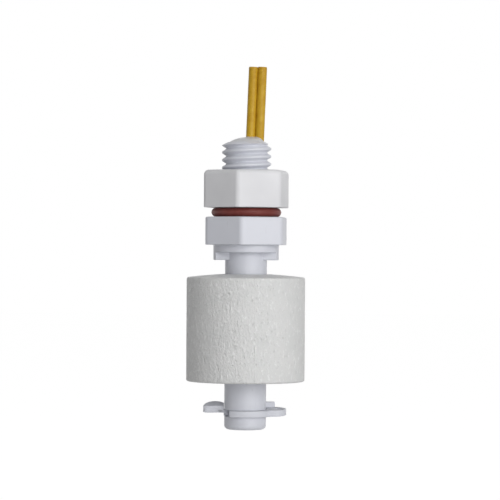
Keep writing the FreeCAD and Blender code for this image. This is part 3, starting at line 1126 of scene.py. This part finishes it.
@dataclass
class LockNut:
    """The hexagon nut with its thread."""

    thread: Thread = field(default_factory=Thread)
    hexagon: Hexagon = Hexagon(15.5, 1.25, 19.0)
    low: float = 1.83
    height: float = 7.4
    brim: float = 0.98
    foot: float = 0.175
    mouth: float = 5.15
    thread_step: float = 0.08

    def build(self) -> bpy.types.Object:
        """A closed profile: underside, sides, top and threaded bore.

        Its lower and upper edges are quarter circles. In the bore the radius is the
        thread's, or the mouth's less the depth below the nearer face where that is larger.

        Returns:
            The object.
        """
        angle = gather(around(176), self.hexagon.angles())
        high, step = self.low + self.height, self.thread_step
        profile = [(self.mouth, self.low)]
        profile += [(self.hexagon.radius(angle, inset), self.low + rise)
                    for rise, inset in quarter(self.foot, steps=5)]
        profile += [(self.hexagon.radius(angle, inset), high - drop)
                    for inset, drop in quarter(self.brim, steps=12)]
        profile.append((self.mouth, high))
        for z in np.arange(high - step, self.low + step / 2, -step):
            cone = self.mouth - min(z - self.low, high - z)
            profile.append((np.maximum(self.thread.inside(angle, z), cone), z))
        return turned("hexagon_nut", angle, profile, crease=35.0)

    def dress(self, dresser: Dresser) -> None:
        """Builds the nut and paints it."""
        dresser.seat(self.build(), Body.NUT, Paint.NUT, "lock_nut")


@dataclass
class SealRing:
    """The rubber ring, with a thin mould line round its outside."""

    middle: float = 6.0
    section: float = 0.9
    height: float = 0.915
    line_height: float = 0.02
    line_width: float = 0.09

    def build(self) -> bpy.types.Object:
        """A torus whose section swells in a narrow bell at the outermost line.

        The bell is the exponential of minus the square of the angle over its width.

        Returns:
            The object.
        """
        turn = around(40)
        away = np.minimum(turn, TURN - turn)
        bell = np.exp(-((away / self.line_width) ** 2))
        size = self.section - self.line_height + self.line_height * bell
        profile = [(self.middle + s * math.cos(t), self.height + s * math.sin(t))
                   for t, s in zip(turn, size)]
        return turned("rubber_ring", around(180), profile, crease=60.0)

    def dress(self, dresser: Dresser) -> None:
        """Builds the ring and paints it."""
        dresser.seat(self.build(), Body.SEAL, Paint.SEAL, "seal_ring")


@dataclass
class Float:
    """The foamed float and the ring that closes its pocket."""

    radius: float = 11.7
    bore: float = 4.6
    low: float = -32.37
    height: float = 21.1
    side: float = 20.45
    edge: float = 0.4
    pocket_inner: float = 5.4
    pocket_outer: float = 7.4
    pocket_depth: float = 10.7
    gap: float = 0.03
    cover_height: float = 5.67
    cover_edge: float = 0.15
    bore_nick: float = 0.15
    pocket_nick: float = 0.1
    unevenness: float = 0.015
    skin: float = 0.02
    line_angle: float = 279.2
    line_height: float = 0.055
    line_width: float = 0.11
    line_fade: float = 0.6

    def crown(self, radius: Value) -> Value:
        """Height of the domed top: a circle centred on the axis through both its rims.

        Args:
            radius: Distance from the axis.

        Returns:
            The height above the underside.
        """
        middle = (self.bore**2 + self.height**2 - self.radius**2 - self.side**2) / (
            2 * (self.height - self.side))
        reach = math.hypot(self.bore, self.height - middle)
        return middle + np.sqrt(reach**2 - np.square(radius))

    def wall(self, angle: Array, height: float) -> Array:
        """Radius of the side.

        It is the full radius less a skin's thickness, plus a slight unevenness and a
        parting line at the front and at the back. The line is a bell, the exponential of
        minus the square of the distance along the side over the line's width, and it
        fades to less than half of its height towards the top.

        Args:
            angle: Angles in radians.
            height: Height above the underside.

        Returns:
            The radii.
        """
        line = math.radians(self.line_angle)
        apart = np.abs(np.mod(angle - line + math.pi / 2, math.pi) - math.pi / 2)
        bell = np.exp(-((apart * self.radius / self.line_width) ** 2))
        share = 1.0 - self.line_fade * smooth_step(height / self.side)
        wave = self.unevenness * ripple(angle, height, seed=7, length=9.0)
        return self.radius - self.skin + wave + self.line_height * share * bell

    def build(self) -> bpy.types.Object:
        """A closed profile: bore, crowned top, side, underside and pocket.

        Returns:
            The object.
        """
        near = np.radians(np.linspace(-1.2, 1.2, 13)) + math.radians(self.line_angle)
        angle = gather(around(240), np.mod(near, TURN), np.mod(near + math.pi, TURN))
        bore, edge, nick, notch = self.bore, self.edge, self.bore_nick, self.pocket_nick
        outer = float(self.crown(self.radius - edge))
        corner = quarter(edge, steps=8)
        profile = [(bore + nick, 0.0), (bore, nick), (bore, self.height - nick)]
        profile += [(r, self.crown(r))
                    for r in np.linspace(bore + 0.8 * nick, self.radius - 2 * edge, 16)]
        profile += [(self.wall(angle, self.side) - inset, outer - drop)
                    for inset, drop in reversed(corner)]
        profile += [(self.wall(angle, z), z) for z in np.linspace(outer - edge, edge, 60)[1:]]
        profile += [(self.wall(angle, 0.0) - inset, rise) for inset, rise in corner]
        profile += [
            (self.pocket_outer + notch, 0.0), (self.pocket_outer, notch),
            (self.pocket_outer, self.pocket_depth), (self.pocket_inner, self.pocket_depth),
            (self.pocket_inner, notch), (self.pocket_inner - notch, 0.0),
        ]
        profile = [(r, z + self.low) for r, z in profile]
        return turned("foam_float", angle, profile, crease=35.0, flip=True)

    def build_cover(self) -> bpy.types.Object:
        """A ring in the pocket's mouth, whose four edges are quarter circles.

        Returns:
            The object.
        """
        inner, outer = self.pocket_inner + self.gap, self.pocket_outer - self.gap
        low, high = self.low, self.low + self.cover_height
        edge = self.cover_edge
        corners = (
            (outer - edge, low + edge, -90), (outer - edge, high - edge, 0),
            (inner + edge, high - edge, 90), (inner + edge, low + edge, 180))
        profile = [(r + edge * c, z + edge * s) for r, z, start in corners
                   for c, s in zip(*round_corner(start, start + 90, steps=5))]
        return turned("pocket_cover", around(180), profile, crease=35.0)

    def dress(self, dresser: Dresser) -> None:
        """Builds the float and its cover, and paints them."""
        dresser.seat(self.build(), Body.FLOAT, Paint.FLOAT, "float_body")
        dresser.seat(self.build_cover(), Body.FLOAT, Paint.FLOAT, "magnet_cover")


@dataclass
class Clip:
    """The split retaining ring, with its ear, bent lobe and upright tab."""

    low: float = -39.25
    thick: float = 1.25
    bore: float = 3.35
    lip: float = 4.27
    rim: float = 5.3
    ear_middle: float = 5.5
    ear_radius: float = 2.6
    ear_lift: float = 0.25
    ear_tilt: float = 4.5
    ear_span: float = 35.0
    ear_blend: float = 0.1
    dish_middle: float = 6.4
    dish_radius: float = 1.1
    dish_depth: float = 0.35
    dish_slope: float = 0.35
    lobe_middle: float = -5.9
    lobe_radius: float = 2.4
    lobe_lift: float = 0.75
    lobe_tilt: float = 24.0
    lobe_end: float = -4.2
    lobe_round: float = 1.0
    step_height: float = 0.65
    step_end: float = -4.22
    tab_x: float = 5.8
    tab_low_y: float = 2.52
    tab_y: float = 4.32
    tab_left: float = 3.7
    tab_height: float = 1.4
    slit_from: float = 183.0
    slit_to: float = 235.0
    edge: float = 0.14

    def tab_span(self) -> tuple[float, float, float]:
        """Angles of the tab's three outer corners in radians.

        Returns:
            The angles, from the ear's side on.
        """
        return (
            math.atan2(self.tab_low_y, self.tab_x),
            math.atan2(self.tab_y, self.tab_x),
            math.atan2(self.tab_y, self.tab_left),
        )

    def outline(self, angle: Array) -> Array:
        """Outermost radius: the largest of the ring's, the ear's and the tab's.

        The ear is a disc on the X axis, whose far crossing is m cos a plus the root of
        r squared less the square of m sin a, with straight sides back to the ring.

        Args:
            angle: Angles in radians.

        Returns:
            The radii.
        """
        turn = np.mod(angle + math.pi, TURN) - math.pi
        away = np.abs(turn)
        side = self.ear_radius / np.maximum(np.sin(away), TINY)
        under = self.ear_radius**2 - (self.ear_middle * np.sin(turn)) ** 2
        disc = self.ear_middle * np.cos(turn) + np.sqrt(np.maximum(under, 0.0))
        corner = math.atan2(self.ear_radius, self.ear_middle)
        ear = np.where(away < corner, disc, side)
        ear = np.where(away < math.radians(self.ear_span), ear, 0.0)
        first, mid, last = self.tab_span()
        tab = np.where(turn < mid, self.tab_x / np.cos(turn), self.tab_y / np.sin(turn))
        tab = np.where((turn >= first) & (turn <= last), tab, 0.0)
        return np.maximum.reduce([np.full_like(turn, self.rim), ear, tab])

    def heights(self, angle: Array, radius: Array) -> tuple[Array, Array]:
        """Lower and upper height over the plan.

        The ring is flat, and thinner from below beside the lobe. The ear is a plate that
        climbs with y by its tilt, with a dish that a soft step lets in, and the tab
        stands up by its own height.

        Args:
            angle: Angles in radians, one a column.
            radius: Radii in millimetres, in rows over the columns.

        Returns:
            The lower and the upper height above the clip's underside.
        """
        turn = np.mod(angle + math.pi, TURN) - math.pi
        x, y = radius * np.cos(turn), radius * np.sin(turn)
        first, _, last = self.tab_span()
        plate = self.ear_lift + y * math.tan(math.radians(self.ear_tilt))
        over = plate + self.thick / math.cos(math.radians(self.ear_tilt))
        on_plate = smooth_step((self.ear_radius - np.abs(y)) / self.ear_blend + 0.5)
        on_ear = on_plate * ((x > 0) & (radius > self.lip))
        high = self.thick + on_ear * (over - self.thick)
        on_tab = (turn >= first) & (turn <= last) & (radius > self.lip)
        high = np.where(on_tab, self.thick + self.tab_height, high)
        low = np.where((radius > self.rim) & (x > 0) & ~on_tab, plate, 0.0)
        low = np.where(x < self.step_end, self.step_height, low)
        inside = self.dish_radius - np.hypot(x - self.dish_middle, y)
        return low, high - self.dish_depth * smooth_step(inside / self.dish_slope)

    def lobe(self) -> Array:
        """The lobe, a plate whose back edge is tilted up.

        Seen square to the plate it is a disc, cut off in front by the slit and beside the
        stem by a straight edge. From a point inside it, a ray ends at the nearest of the
        three: the disc's far crossing, or the distance to a cut over the ray's share
        towards that cut. Where the disc and the front cut are within a roundness k of
        each other, the end is their mean weighted by a share w that grows evenly with
        their difference, less k w (1 - w), which rounds the corner between them.

        Returns:
            Points, in rows from the middle of the underside to the middle of the top.
        """
        turn, tilt = around(160), math.radians(self.lobe_tilt)
        side, back = np.cos(turn), np.sin(turn)
        aside = 0.2
        middle_x, middle_y = self.lobe_middle - aside, self.lobe_radius / 2
        lean = math.tan(math.radians(self.slit_from - 180))
        rows = [(0.0, self.edge + 0.05)]
        rows += sorted((rise, inset) for inset, rise in quarter(self.edge, steps=5))
        rows += [(self.thick - rise, inset) for rise, inset in rows[::-1]]
        grid = []
        for rise, inset in [(0.0, None), *rows, (self.thick, None)]:
            reach = np.zeros_like(side)
            if inset is not None:
                along = middle_y * back - aside * side
                disc = np.sqrt(along**2 - aside**2 - middle_y**2
                               + (self.lobe_radius - inset) ** 2) - along
                room = (middle_y * math.cos(tilt) - rise * math.sin(tilt)
                        - middle_x * lean - inset)
                fall = side * lean - back * math.cos(tilt)
                front = np.where(fall > TINY, room / np.maximum(fall, TINY), FAR)
                beside = np.where(side > TINY, (self.lobe_end - inset - middle_x)
                                  / np.maximum(side, TINY), FAR)
                share = np.clip(0.5 + (front - disc) / (2 * self.lobe_round), 0.0, 1.0)
                outer = (disc * share + front * (1 - share)
                         - self.lobe_round * share * (1 - share))
                reach = np.minimum(outer, beside)
            depth = middle_y + reach * back
            grid.append(np.stack([
                middle_x + reach * side,
                depth * math.cos(tilt) - rise * math.sin(tilt),
                self.low + self.lobe_lift + depth * math.sin(tilt) + rise * math.cos(tilt),
            ], -1))
        return np.stack(grid)

    def build(self) -> bpy.types.Object:
        """Sections carried round from one side of the slit to the other, and the lobe.

        Each section runs out along the top and back along the underside, at the same
        radii, so that the two ends close with one strip each. Edges are quarter circles.
        Where the height jumps, two radii lie a small jump to either side of the place,
        and angles are added in the same way at the tab's sides and the ear's neck.

        Returns:
            The object.
        """
        first, mid, last = self.tab_span()
        neck = math.asin(self.ear_radius / self.rim)
        near, spread = 0.02, np.linspace(-0.03, 0.03, 7)
        breaks = np.concatenate([
            [first - HAIR, first + HAIR, last - HAIR, last + HAIR, mid, mid - near, mid + near],
            spread - neck, spread + neck])
        start, stop = math.radians(self.slit_to), math.radians(self.slit_from) + TURN
        breaks = np.mod(breaks - start, TURN) + start
        angle = gather(np.linspace(start, stop, 240), breaks[breaks < stop])
        outer = self.outline(angle)
        jump, room = 0.01, 0.03
        rim = np.minimum(self.rim, outer - self.edge - 0.1)
        step = np.clip(self.step_end / np.minimum(np.cos(angle), -0.1), self.lip + room,
                       rim - room)
        shares = np.linspace(0.0, 1.0, 14)[:, None]
        border = np.array([0.0, 0.08, 0.3, 0.6])[:, None] * self.edge
        lip = np.full((1, len(angle)), self.lip)
        rows = np.concatenate([
            self.bore + border + 0 * outer,
            lip - jump, lip + jump, step[None] - jump, step[None] + jump, rim[None] - jump,
            rim + jump + shares * (outer - self.edge - rim - jump),
            outer - border[::-1],
        ])
        low, high = self.heights(angle, rows)
        inset = np.minimum(rows - self.bore, outer - rows)
        drop = self.edge - np.sqrt(np.maximum(
            self.edge**2 - np.maximum(self.edge - inset, 0.0) ** 2, 0.0))
        top = points_at(angle, rows, high - drop + self.low)
        under = points_at(angle, rows, low + drop + self.low)
        surface = Surface()
        surface.add_grid(np.concatenate([top, under[::-1]]), wrap_rows=True,
                         wrap_columns=False, flip=True)
        for column, flip in ((0, True), (-1, False)):
            surface.add_grid(np.stack([top[:, column], under[:, column]]),
                             wrap_columns=False, flip=flip)
        surface.add_grid(self.lobe())
        return surface.build("split_clip", crease=38.0)

    def dress(self, dresser: Dresser) -> None:
        """Builds the clip and paints it."""
        dresser.seat(self.build(), Body.SWITCH, Paint.STEM, "retaining_clip")


@dataclass
class Lead:
    """One lead: an insulating jacket over seven twisted strands."""

    name: str
    side: float
    jacket_low: Route
    core_low: Route
    radius: float = 0.86
    core: float = 0.4
    strand: float = 0.13
    lay: float = 9.0
    lean: float = math.tan(math.radians(2.1))
    spacing: float = 1.77
    offset: float = 1.62
    level: float = 15.4
    top: float = 29.59
    bend_low: float = 2.0
    bend_high: float = 9.0
    swell: float = 0.06
    free_from: float = 12.0
    swell_span: float = 2.0
    step: float = 0.35
    fit_gap: float = 0.02
    cut_edge: float = 0.05
    skin: float = 0.012
    unevenness: float = 0.008

    def upper(self) -> Route:
        """Points of the route that jacket and core share, as x and z.

        Returns:
            The points, from the bottom up.
        """
        own = self.side * self.spacing / 2
        return (
            (own, self.bend_low),
            (self.offset + own - (self.level - self.bend_high) * self.lean, self.bend_high),
            (self.offset + own + (self.top - self.level) * self.lean, self.top),
        )

    def route(self, low: Route) -> Array:
        """Points along the lead's middle line, with its corners eased.

        The runs are sampled evenly, and each point becomes the mean of itself and five
        neighbours on either side. Past the two ends the line is carried on by its own
        mirror image, so that the ends stay where they are.

        Args:
            low: Points below the shared ones, from the bottom up.

        Returns:
            Points as x and z.
        """
        bends = np.array([*low, *self.upper()])
        runs = np.concatenate([[0.0], np.cumsum(np.hypot(*np.diff(bends, axis=0).T))])
        along = np.linspace(0.0, runs[-1], int(runs[-1] / self.step))
        points = np.stack([np.interp(along, runs, bends[:, k]) for k in (0, 1)], -1)
        spread = 5
        padded = np.pad(points, ((spread, spread), (0, 0)), mode="reflect", reflect_type="odd")
        kernel = np.ones(2 * spread + 1) / (2 * spread + 1)
        return np.stack([np.convolve(padded[:, k], kernel, "valid") for k in (0, 1)], -1)

    def carry(self, line: Array, offset: Array, across: Array) -> Array:
        """Points beside a line in the XZ plane.

        Args:
            line: Points as x and z, one a row.
            offset: Distance in the plane, square to the line, rows by columns.
            across: Distance along Y, rows by columns.

        Returns:
            Points in space: the line plus the offset along its normal and along Y.
        """
        slope = np.gradient(line, axis=0)
        slope /= np.linalg.norm(slope, axis=1, keepdims=True)
        return np.stack([
            line[:, :1] + offset * slope[:, 1:],
            across + 0 * offset,
            line[:, 1:] - offset * slope[:, :1],
        ], -1)

    def build_jacket(self) -> bpy.types.Object:
        """A circle carried up the route, over the square cut and back down inside.

        Its radius is the jacket's less a skin's thickness, plus a slight unevenness and
        the swelling above the mouth.

        Returns:
            The object.
        """
        angle = around(48)[None]
        line = self.route(self.jacket_low)
        bore = self.core + self.fit_gap
        height = np.arange(len(line))[:, None] * self.step
        wave = self.unevenness * ripple(angle, height, seed=12 + int(self.side), length=7.0)
        body = self.radius - self.skin + wave
        body += self.swell * smooth_step((line[:, 1:] - self.free_from) / self.swell_span)
        body[[0, -1]] -= self.cut_edge
        walls = [
            self.carry(line, size * np.cos(angle), size * np.sin(angle))
            for size in (body, np.full_like(body, (self.radius + bore) / 2),
                         np.full_like(body, bore))
        ]
        grid = np.concatenate([walls[0], walls[1][-1:], walls[2][::-1], walls[1][:1]])
        surface = Surface()
        surface.add_grid(grid, wrap_rows=True)
        return surface.build(f"lead_cover_{self.name}", crease=50.0)

    def build_core(self) -> bpy.types.Object:
        """Seven strands: one in the middle and six that wind once round it in each lay.

        Returns:
            The object.
        """
        line = self.route(self.core_low)
        surface = Surface()
        height = np.arange(len(line))[:, None] * self.step
        angle = around(10)[None]
        flat = np.zeros((len(line), angle.size))
        for number in range(7):
            reach = 0.0 if number == 0 else 2 * self.strand
            turn = height * TURN / self.lay + number * TURN / 6
            offset, across = reach * np.cos(turn) + flat, reach * np.sin(turn) + flat
            middle = self.carry(line, offset, across)
            tube = self.carry(line, offset + self.strand * np.cos(angle),
                              across + self.strand * np.sin(angle))
            surface.add_grid(np.concatenate([middle[:1], tube, middle[-1:]]))
        return surface.build(f"lead_strands_{self.name}", crease=50.0)

    def dress(self, dresser: Dresser) -> None:
        """Builds the cover and the strands, and paints them."""
        dresser.seat(self.build_jacket(), Body.SWITCH, Paint.LEAD, f"lead_jacket_{self.name}")
        dresser.seat(self.build_core(), Body.SWITCH, Paint.COPPER, f"lead_core_{self.name}")


@dataclass
class Resin:
    """The potting resin: a plug whose domed top climbs a little up the leads."""

    leads: tuple[float, float] = (0.735, 2.505)
    lead_radius: float = 0.86
    radius: float = 3.48
    low_radius: float = 2.68
    low: float = 5.0
    bore_top: float = 6.2
    mouth_floor: float = 7.0
    rim_height: float = 14.72
    rise: float = 1.0
    crest: float = 1.3
    fullness: float = 3.2
    climb: float = 0.14
    climb_reach: float = 0.25
    unevenness: float = 0.03
    middle_fade: float = 0.8
    rim_fade: float = 0.5

    def dome(self, angle: Array, radius: float) -> Array:
        """Height of the top.

        From its crest, which leans towards the leads, it falls off as the share of the
        way to the rim to the power of its fullness. That share is the distance from the
        crest over the rim's distance from it along the same ray. To that come a slight
        unevenness, and a climb that falls off with the distance from the nearer lead as
        the exponential of minus that distance over the climb's reach.

        Args:
            angle: Angles in radians.
            radius: Distance from the axis.

        Returns:
            The heights.
        """
        x, y = radius * np.cos(angle), radius * np.sin(angle)
        from_crest = np.hypot(x - self.crest, y)
        side, up = (x - self.crest) / (from_crest + TINY), y / (from_crest + TINY)
        rim = np.sqrt(self.radius**2 - (self.crest * up) ** 2) - self.crest * side
        cap = self.rise * (1 - np.minimum(from_crest / rim, 1.0) ** self.fullness)
        apart = np.minimum(np.hypot(x - self.leads[0], y), np.hypot(x - self.leads[1], y))
        outside = np.maximum(apart - self.lead_radius, 0.0)
        climb = self.climb * np.exp(-outside / self.climb_reach)
        wave = self.unevenness * ripple(angle, radius, seed=5, length=4.0)
        wave *= smooth_step(radius / self.middle_fade)
        fade = smooth_step((self.radius - radius) / self.rim_fade)
        return self.rim_height + cap + fade * (climb + wave)

    def build(self) -> bpy.types.Object:
        """A profile from the middle of the underside to the middle of the dome.

        Returns:
            The object.
        """
        angle = around(120)
        profile = [(0.0, self.low), (self.low_radius, self.low), (self.low_radius, self.bore_top),
                   (self.radius, self.mouth_floor), (self.radius, self.rim_height)]
        profile += [(r, self.dome(angle, r)) for r in np.linspace(self.radius, 0.0, 40)[1:]]
        return turned("resin_plug", angle, profile, crease=50.0, closed=False)

    def dress(self, dresser: Dresser) -> None:
        """Builds the plug and paints it."""
        dresser.seat(self.build(), Body.SWITCH, Paint.RESIN, "potting_plug")


@dataclass
class Reed:
    """The reed switch and its joints, which stay as the CAD makes them."""

    paints: dict[str, Paint] = field(default_factory=lambda: {
        "magnet_ring": Paint.FERRITE,
        "reed_glass": Paint.GLASS,
        "reed_blade_upper": Paint.REED,
        "reed_blade_lower": Paint.REED,
        "reed_cushion": Paint.CUSHION,
        "solder_joint_upper": Paint.SOLDER,
        "solder_joint_lower": Paint.SOLDER,
        "joint_sleeve_upper": Paint.SLEEVE,
        "joint_sleeve_lower": Paint.SLEEVE,
    })

    def dress(self, dresser: Dresser, nodes: dict[str, bpy.types.Object]) -> None:
        """Paints the CAD nodes.

        Args:
            dresser: Holds the finishes.
            nodes: The CAD nodes by name.
        """
        for name, paint in self.paints.items():
            dresser.paint(nodes[name], paint)
            LOG.info("%s: painted %s", name, paint.value.name)


# Studio


@dataclass
class Studio:
    """Camera, floor, world and lamps."""

    picture: float = 500.0
    pixels_a_mm: float = 5.07
    lens: float = 180.0
    sensor: float = 36.0
    middle: tuple[float, float] = (0.77, -6.5)
    roll: float = 0.35
    floor: float = -120.0
    floor_side: float = 4000.0
    floor_tone: float = 0.85
    floor_glow: float = 1.23
    floor_white: float = 0.78
    ambient: float = 0.2
    lamp_distance: float = 0.9
    lamp_side: float = 0.5
    lamp_aim: float = -0.007

    def camera(self) -> None:
        """Sets the camera level, at the distance where a millimetre has its pixels."""
        data = bpy.data.cameras.new("camera")
        data.lens, data.sensor_width = self.lens, self.sensor
        data.clip_start = 0.01
        made = bpy.data.objects.new("camera", data)
        away = self.picture / self.pixels_a_mm * self.lens / self.sensor
        made.matrix_world = (
            Matrix.Translation(Vector((self.middle[0], -away, self.middle[1])) * METRE)
            @ Matrix.Rotation(math.pi / 2, 4, "X")
            @ Matrix.Rotation(math.radians(self.roll), 4, "Z")
        )
        bpy.context.scene.collection.objects.link(made)
        bpy.context.scene.camera = made

    def lamp(self, name: str, azimuth: float, elevation: float, power: float) -> None:
        """Adds a square soft lamp that faces the part.

        Args:
            name: The lamp's name.
            azimuth: Degrees to the right of the camera.
            elevation: Degrees above the horizon.
            power: Watts.
        """
        data = bpy.data.lights.new(name, "AREA")
        data.size, data.energy = self.lamp_side, power
        made = bpy.data.objects.new(name, data)
        a, e = math.radians(azimuth), math.radians(elevation)
        way = Vector((math.sin(a) * math.cos(e), -math.cos(a) * math.cos(e), math.sin(e)))
        made.location = way * self.lamp_distance + Vector((0, 0, self.lamp_aim))
        made.rotation_euler = way.to_track_quat("Z", "Y").to_euler()
        bpy.context.scene.collection.objects.link(made)

    def seen(self, wiring: Wiring) -> Socket:
        """One where the camera, a reflection or clear glass looks, and zero elsewhere.

        Args:
            wiring: The tree's wiring.

        Returns:
            The value.
        """
        path = wiring.node("LightPath").outputs
        either = wiring.maths("MAXIMUM", path["Is Camera Ray"], path["Is Glossy Ray"])
        return wiring.maths("MAXIMUM", either, path["Is Transmission Ray"])

    def world(self) -> None:
        """A backdrop that is seen white and lights the part at the ambient level."""
        world = bpy.data.worlds.new("studio")
        bpy.context.scene.world = world
        wiring = cleared(world)
        back = wiring.node("Background", inputs={"Color": (1.0, 1.0, 1.0, 1.0)})
        output = wiring.node("OutputWorld")
        level = wiring.spread(self.seen(wiring), 0.0, 1.0, self.ambient, 1.0)
        wiring.feed(level, back.inputs["Strength"])
        wiring.feed(back.outputs["Background"], output.inputs["Surface"])

    def ground(self) -> None:
        """A wide pale floor, well below the part.

        Where it is looked at, most of it is a plain white glow, and the rest takes light
        and the part's shadow.
        """
        side = self.floor_side
        grid = np.array([[-side, -side, self.floor], [side, -side, self.floor],
                         [-side, side, self.floor], [side, side, self.floor]])
        surface = Surface()
        surface.add_grid(grid.reshape(2, 2, 3), wrap_columns=False)
        floor = surface.build("floor")
        made = bpy.data.materials.new("studio_floor")
        wiring = cleared(made)
        tone = self.floor_tone
        matt = wiring.node("BsdfDiffuse", inputs={"Color": (tone, tone, tone, 1.0)})
        white = wiring.node("Emission", inputs={
            "Color": (1.0, 1.0, 1.0, 1.0), "Strength": self.floor_glow})
        mix = wiring.node("MixShader")
        white_share = wiring.maths("MULTIPLY", self.seen(wiring), self.floor_white)
        wiring.feed(white_share, mix.inputs[0])
        wiring.feed(matt.outputs[0], mix.inputs[1])
        wiring.feed(white.outputs[0], mix.inputs[2])
        output = wiring.node("OutputMaterial")
        wiring.feed(mix.outputs[0], output.inputs["Surface"])
        floor.data.materials.append(made)

    def build(self) -> None:
        """Sets everything round the part."""
        self.camera()
        self.world()
        self.ground()
        self.lamp("key", azimuth=17.0, elevation=11.0, power=2.7)
        self.lamp("side", azimuth=45.0, elevation=5.0, power=2.1)
        self.lamp("top", azimuth=15.0, elevation=58.0, power=1.4)
        bpy.context.scene.view_settings.view_transform = "Standard"


def main() -> None:
    """Loads the frame, builds each sub-assembly in turn and sets the studio."""
    logging.basicConfig(level=logging.INFO, format="%(name)s: %(message)s")
    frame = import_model()
    dresser = Dresser()
    Stem().dress(dresser)
    LockNut().dress(dresser)
    SealRing().dress(dresser)
    Float().dress(dresser)
    Clip().dress(dresser)
    Lead("left", side=-1.0, jacket_low=((-0.885, -4.9),),
         core_low=((-0.23, -9.6), (-0.23, -6.8), (-0.885, -5.0))).dress(dresser)
    Lead("right", side=1.0, jacket_low=((1.75, -28.2), (1.75, -4.0)),
         core_low=((-0.23, -33.6), (-0.23, -30.8), (1.75, -28.4), (1.75, -4.0))).dress(dresser)
    Resin().dress(dresser)
    Reed().dress(dresser, frame["nodes"])
    Studio().build()


if __name__ == "__main__":
    main()
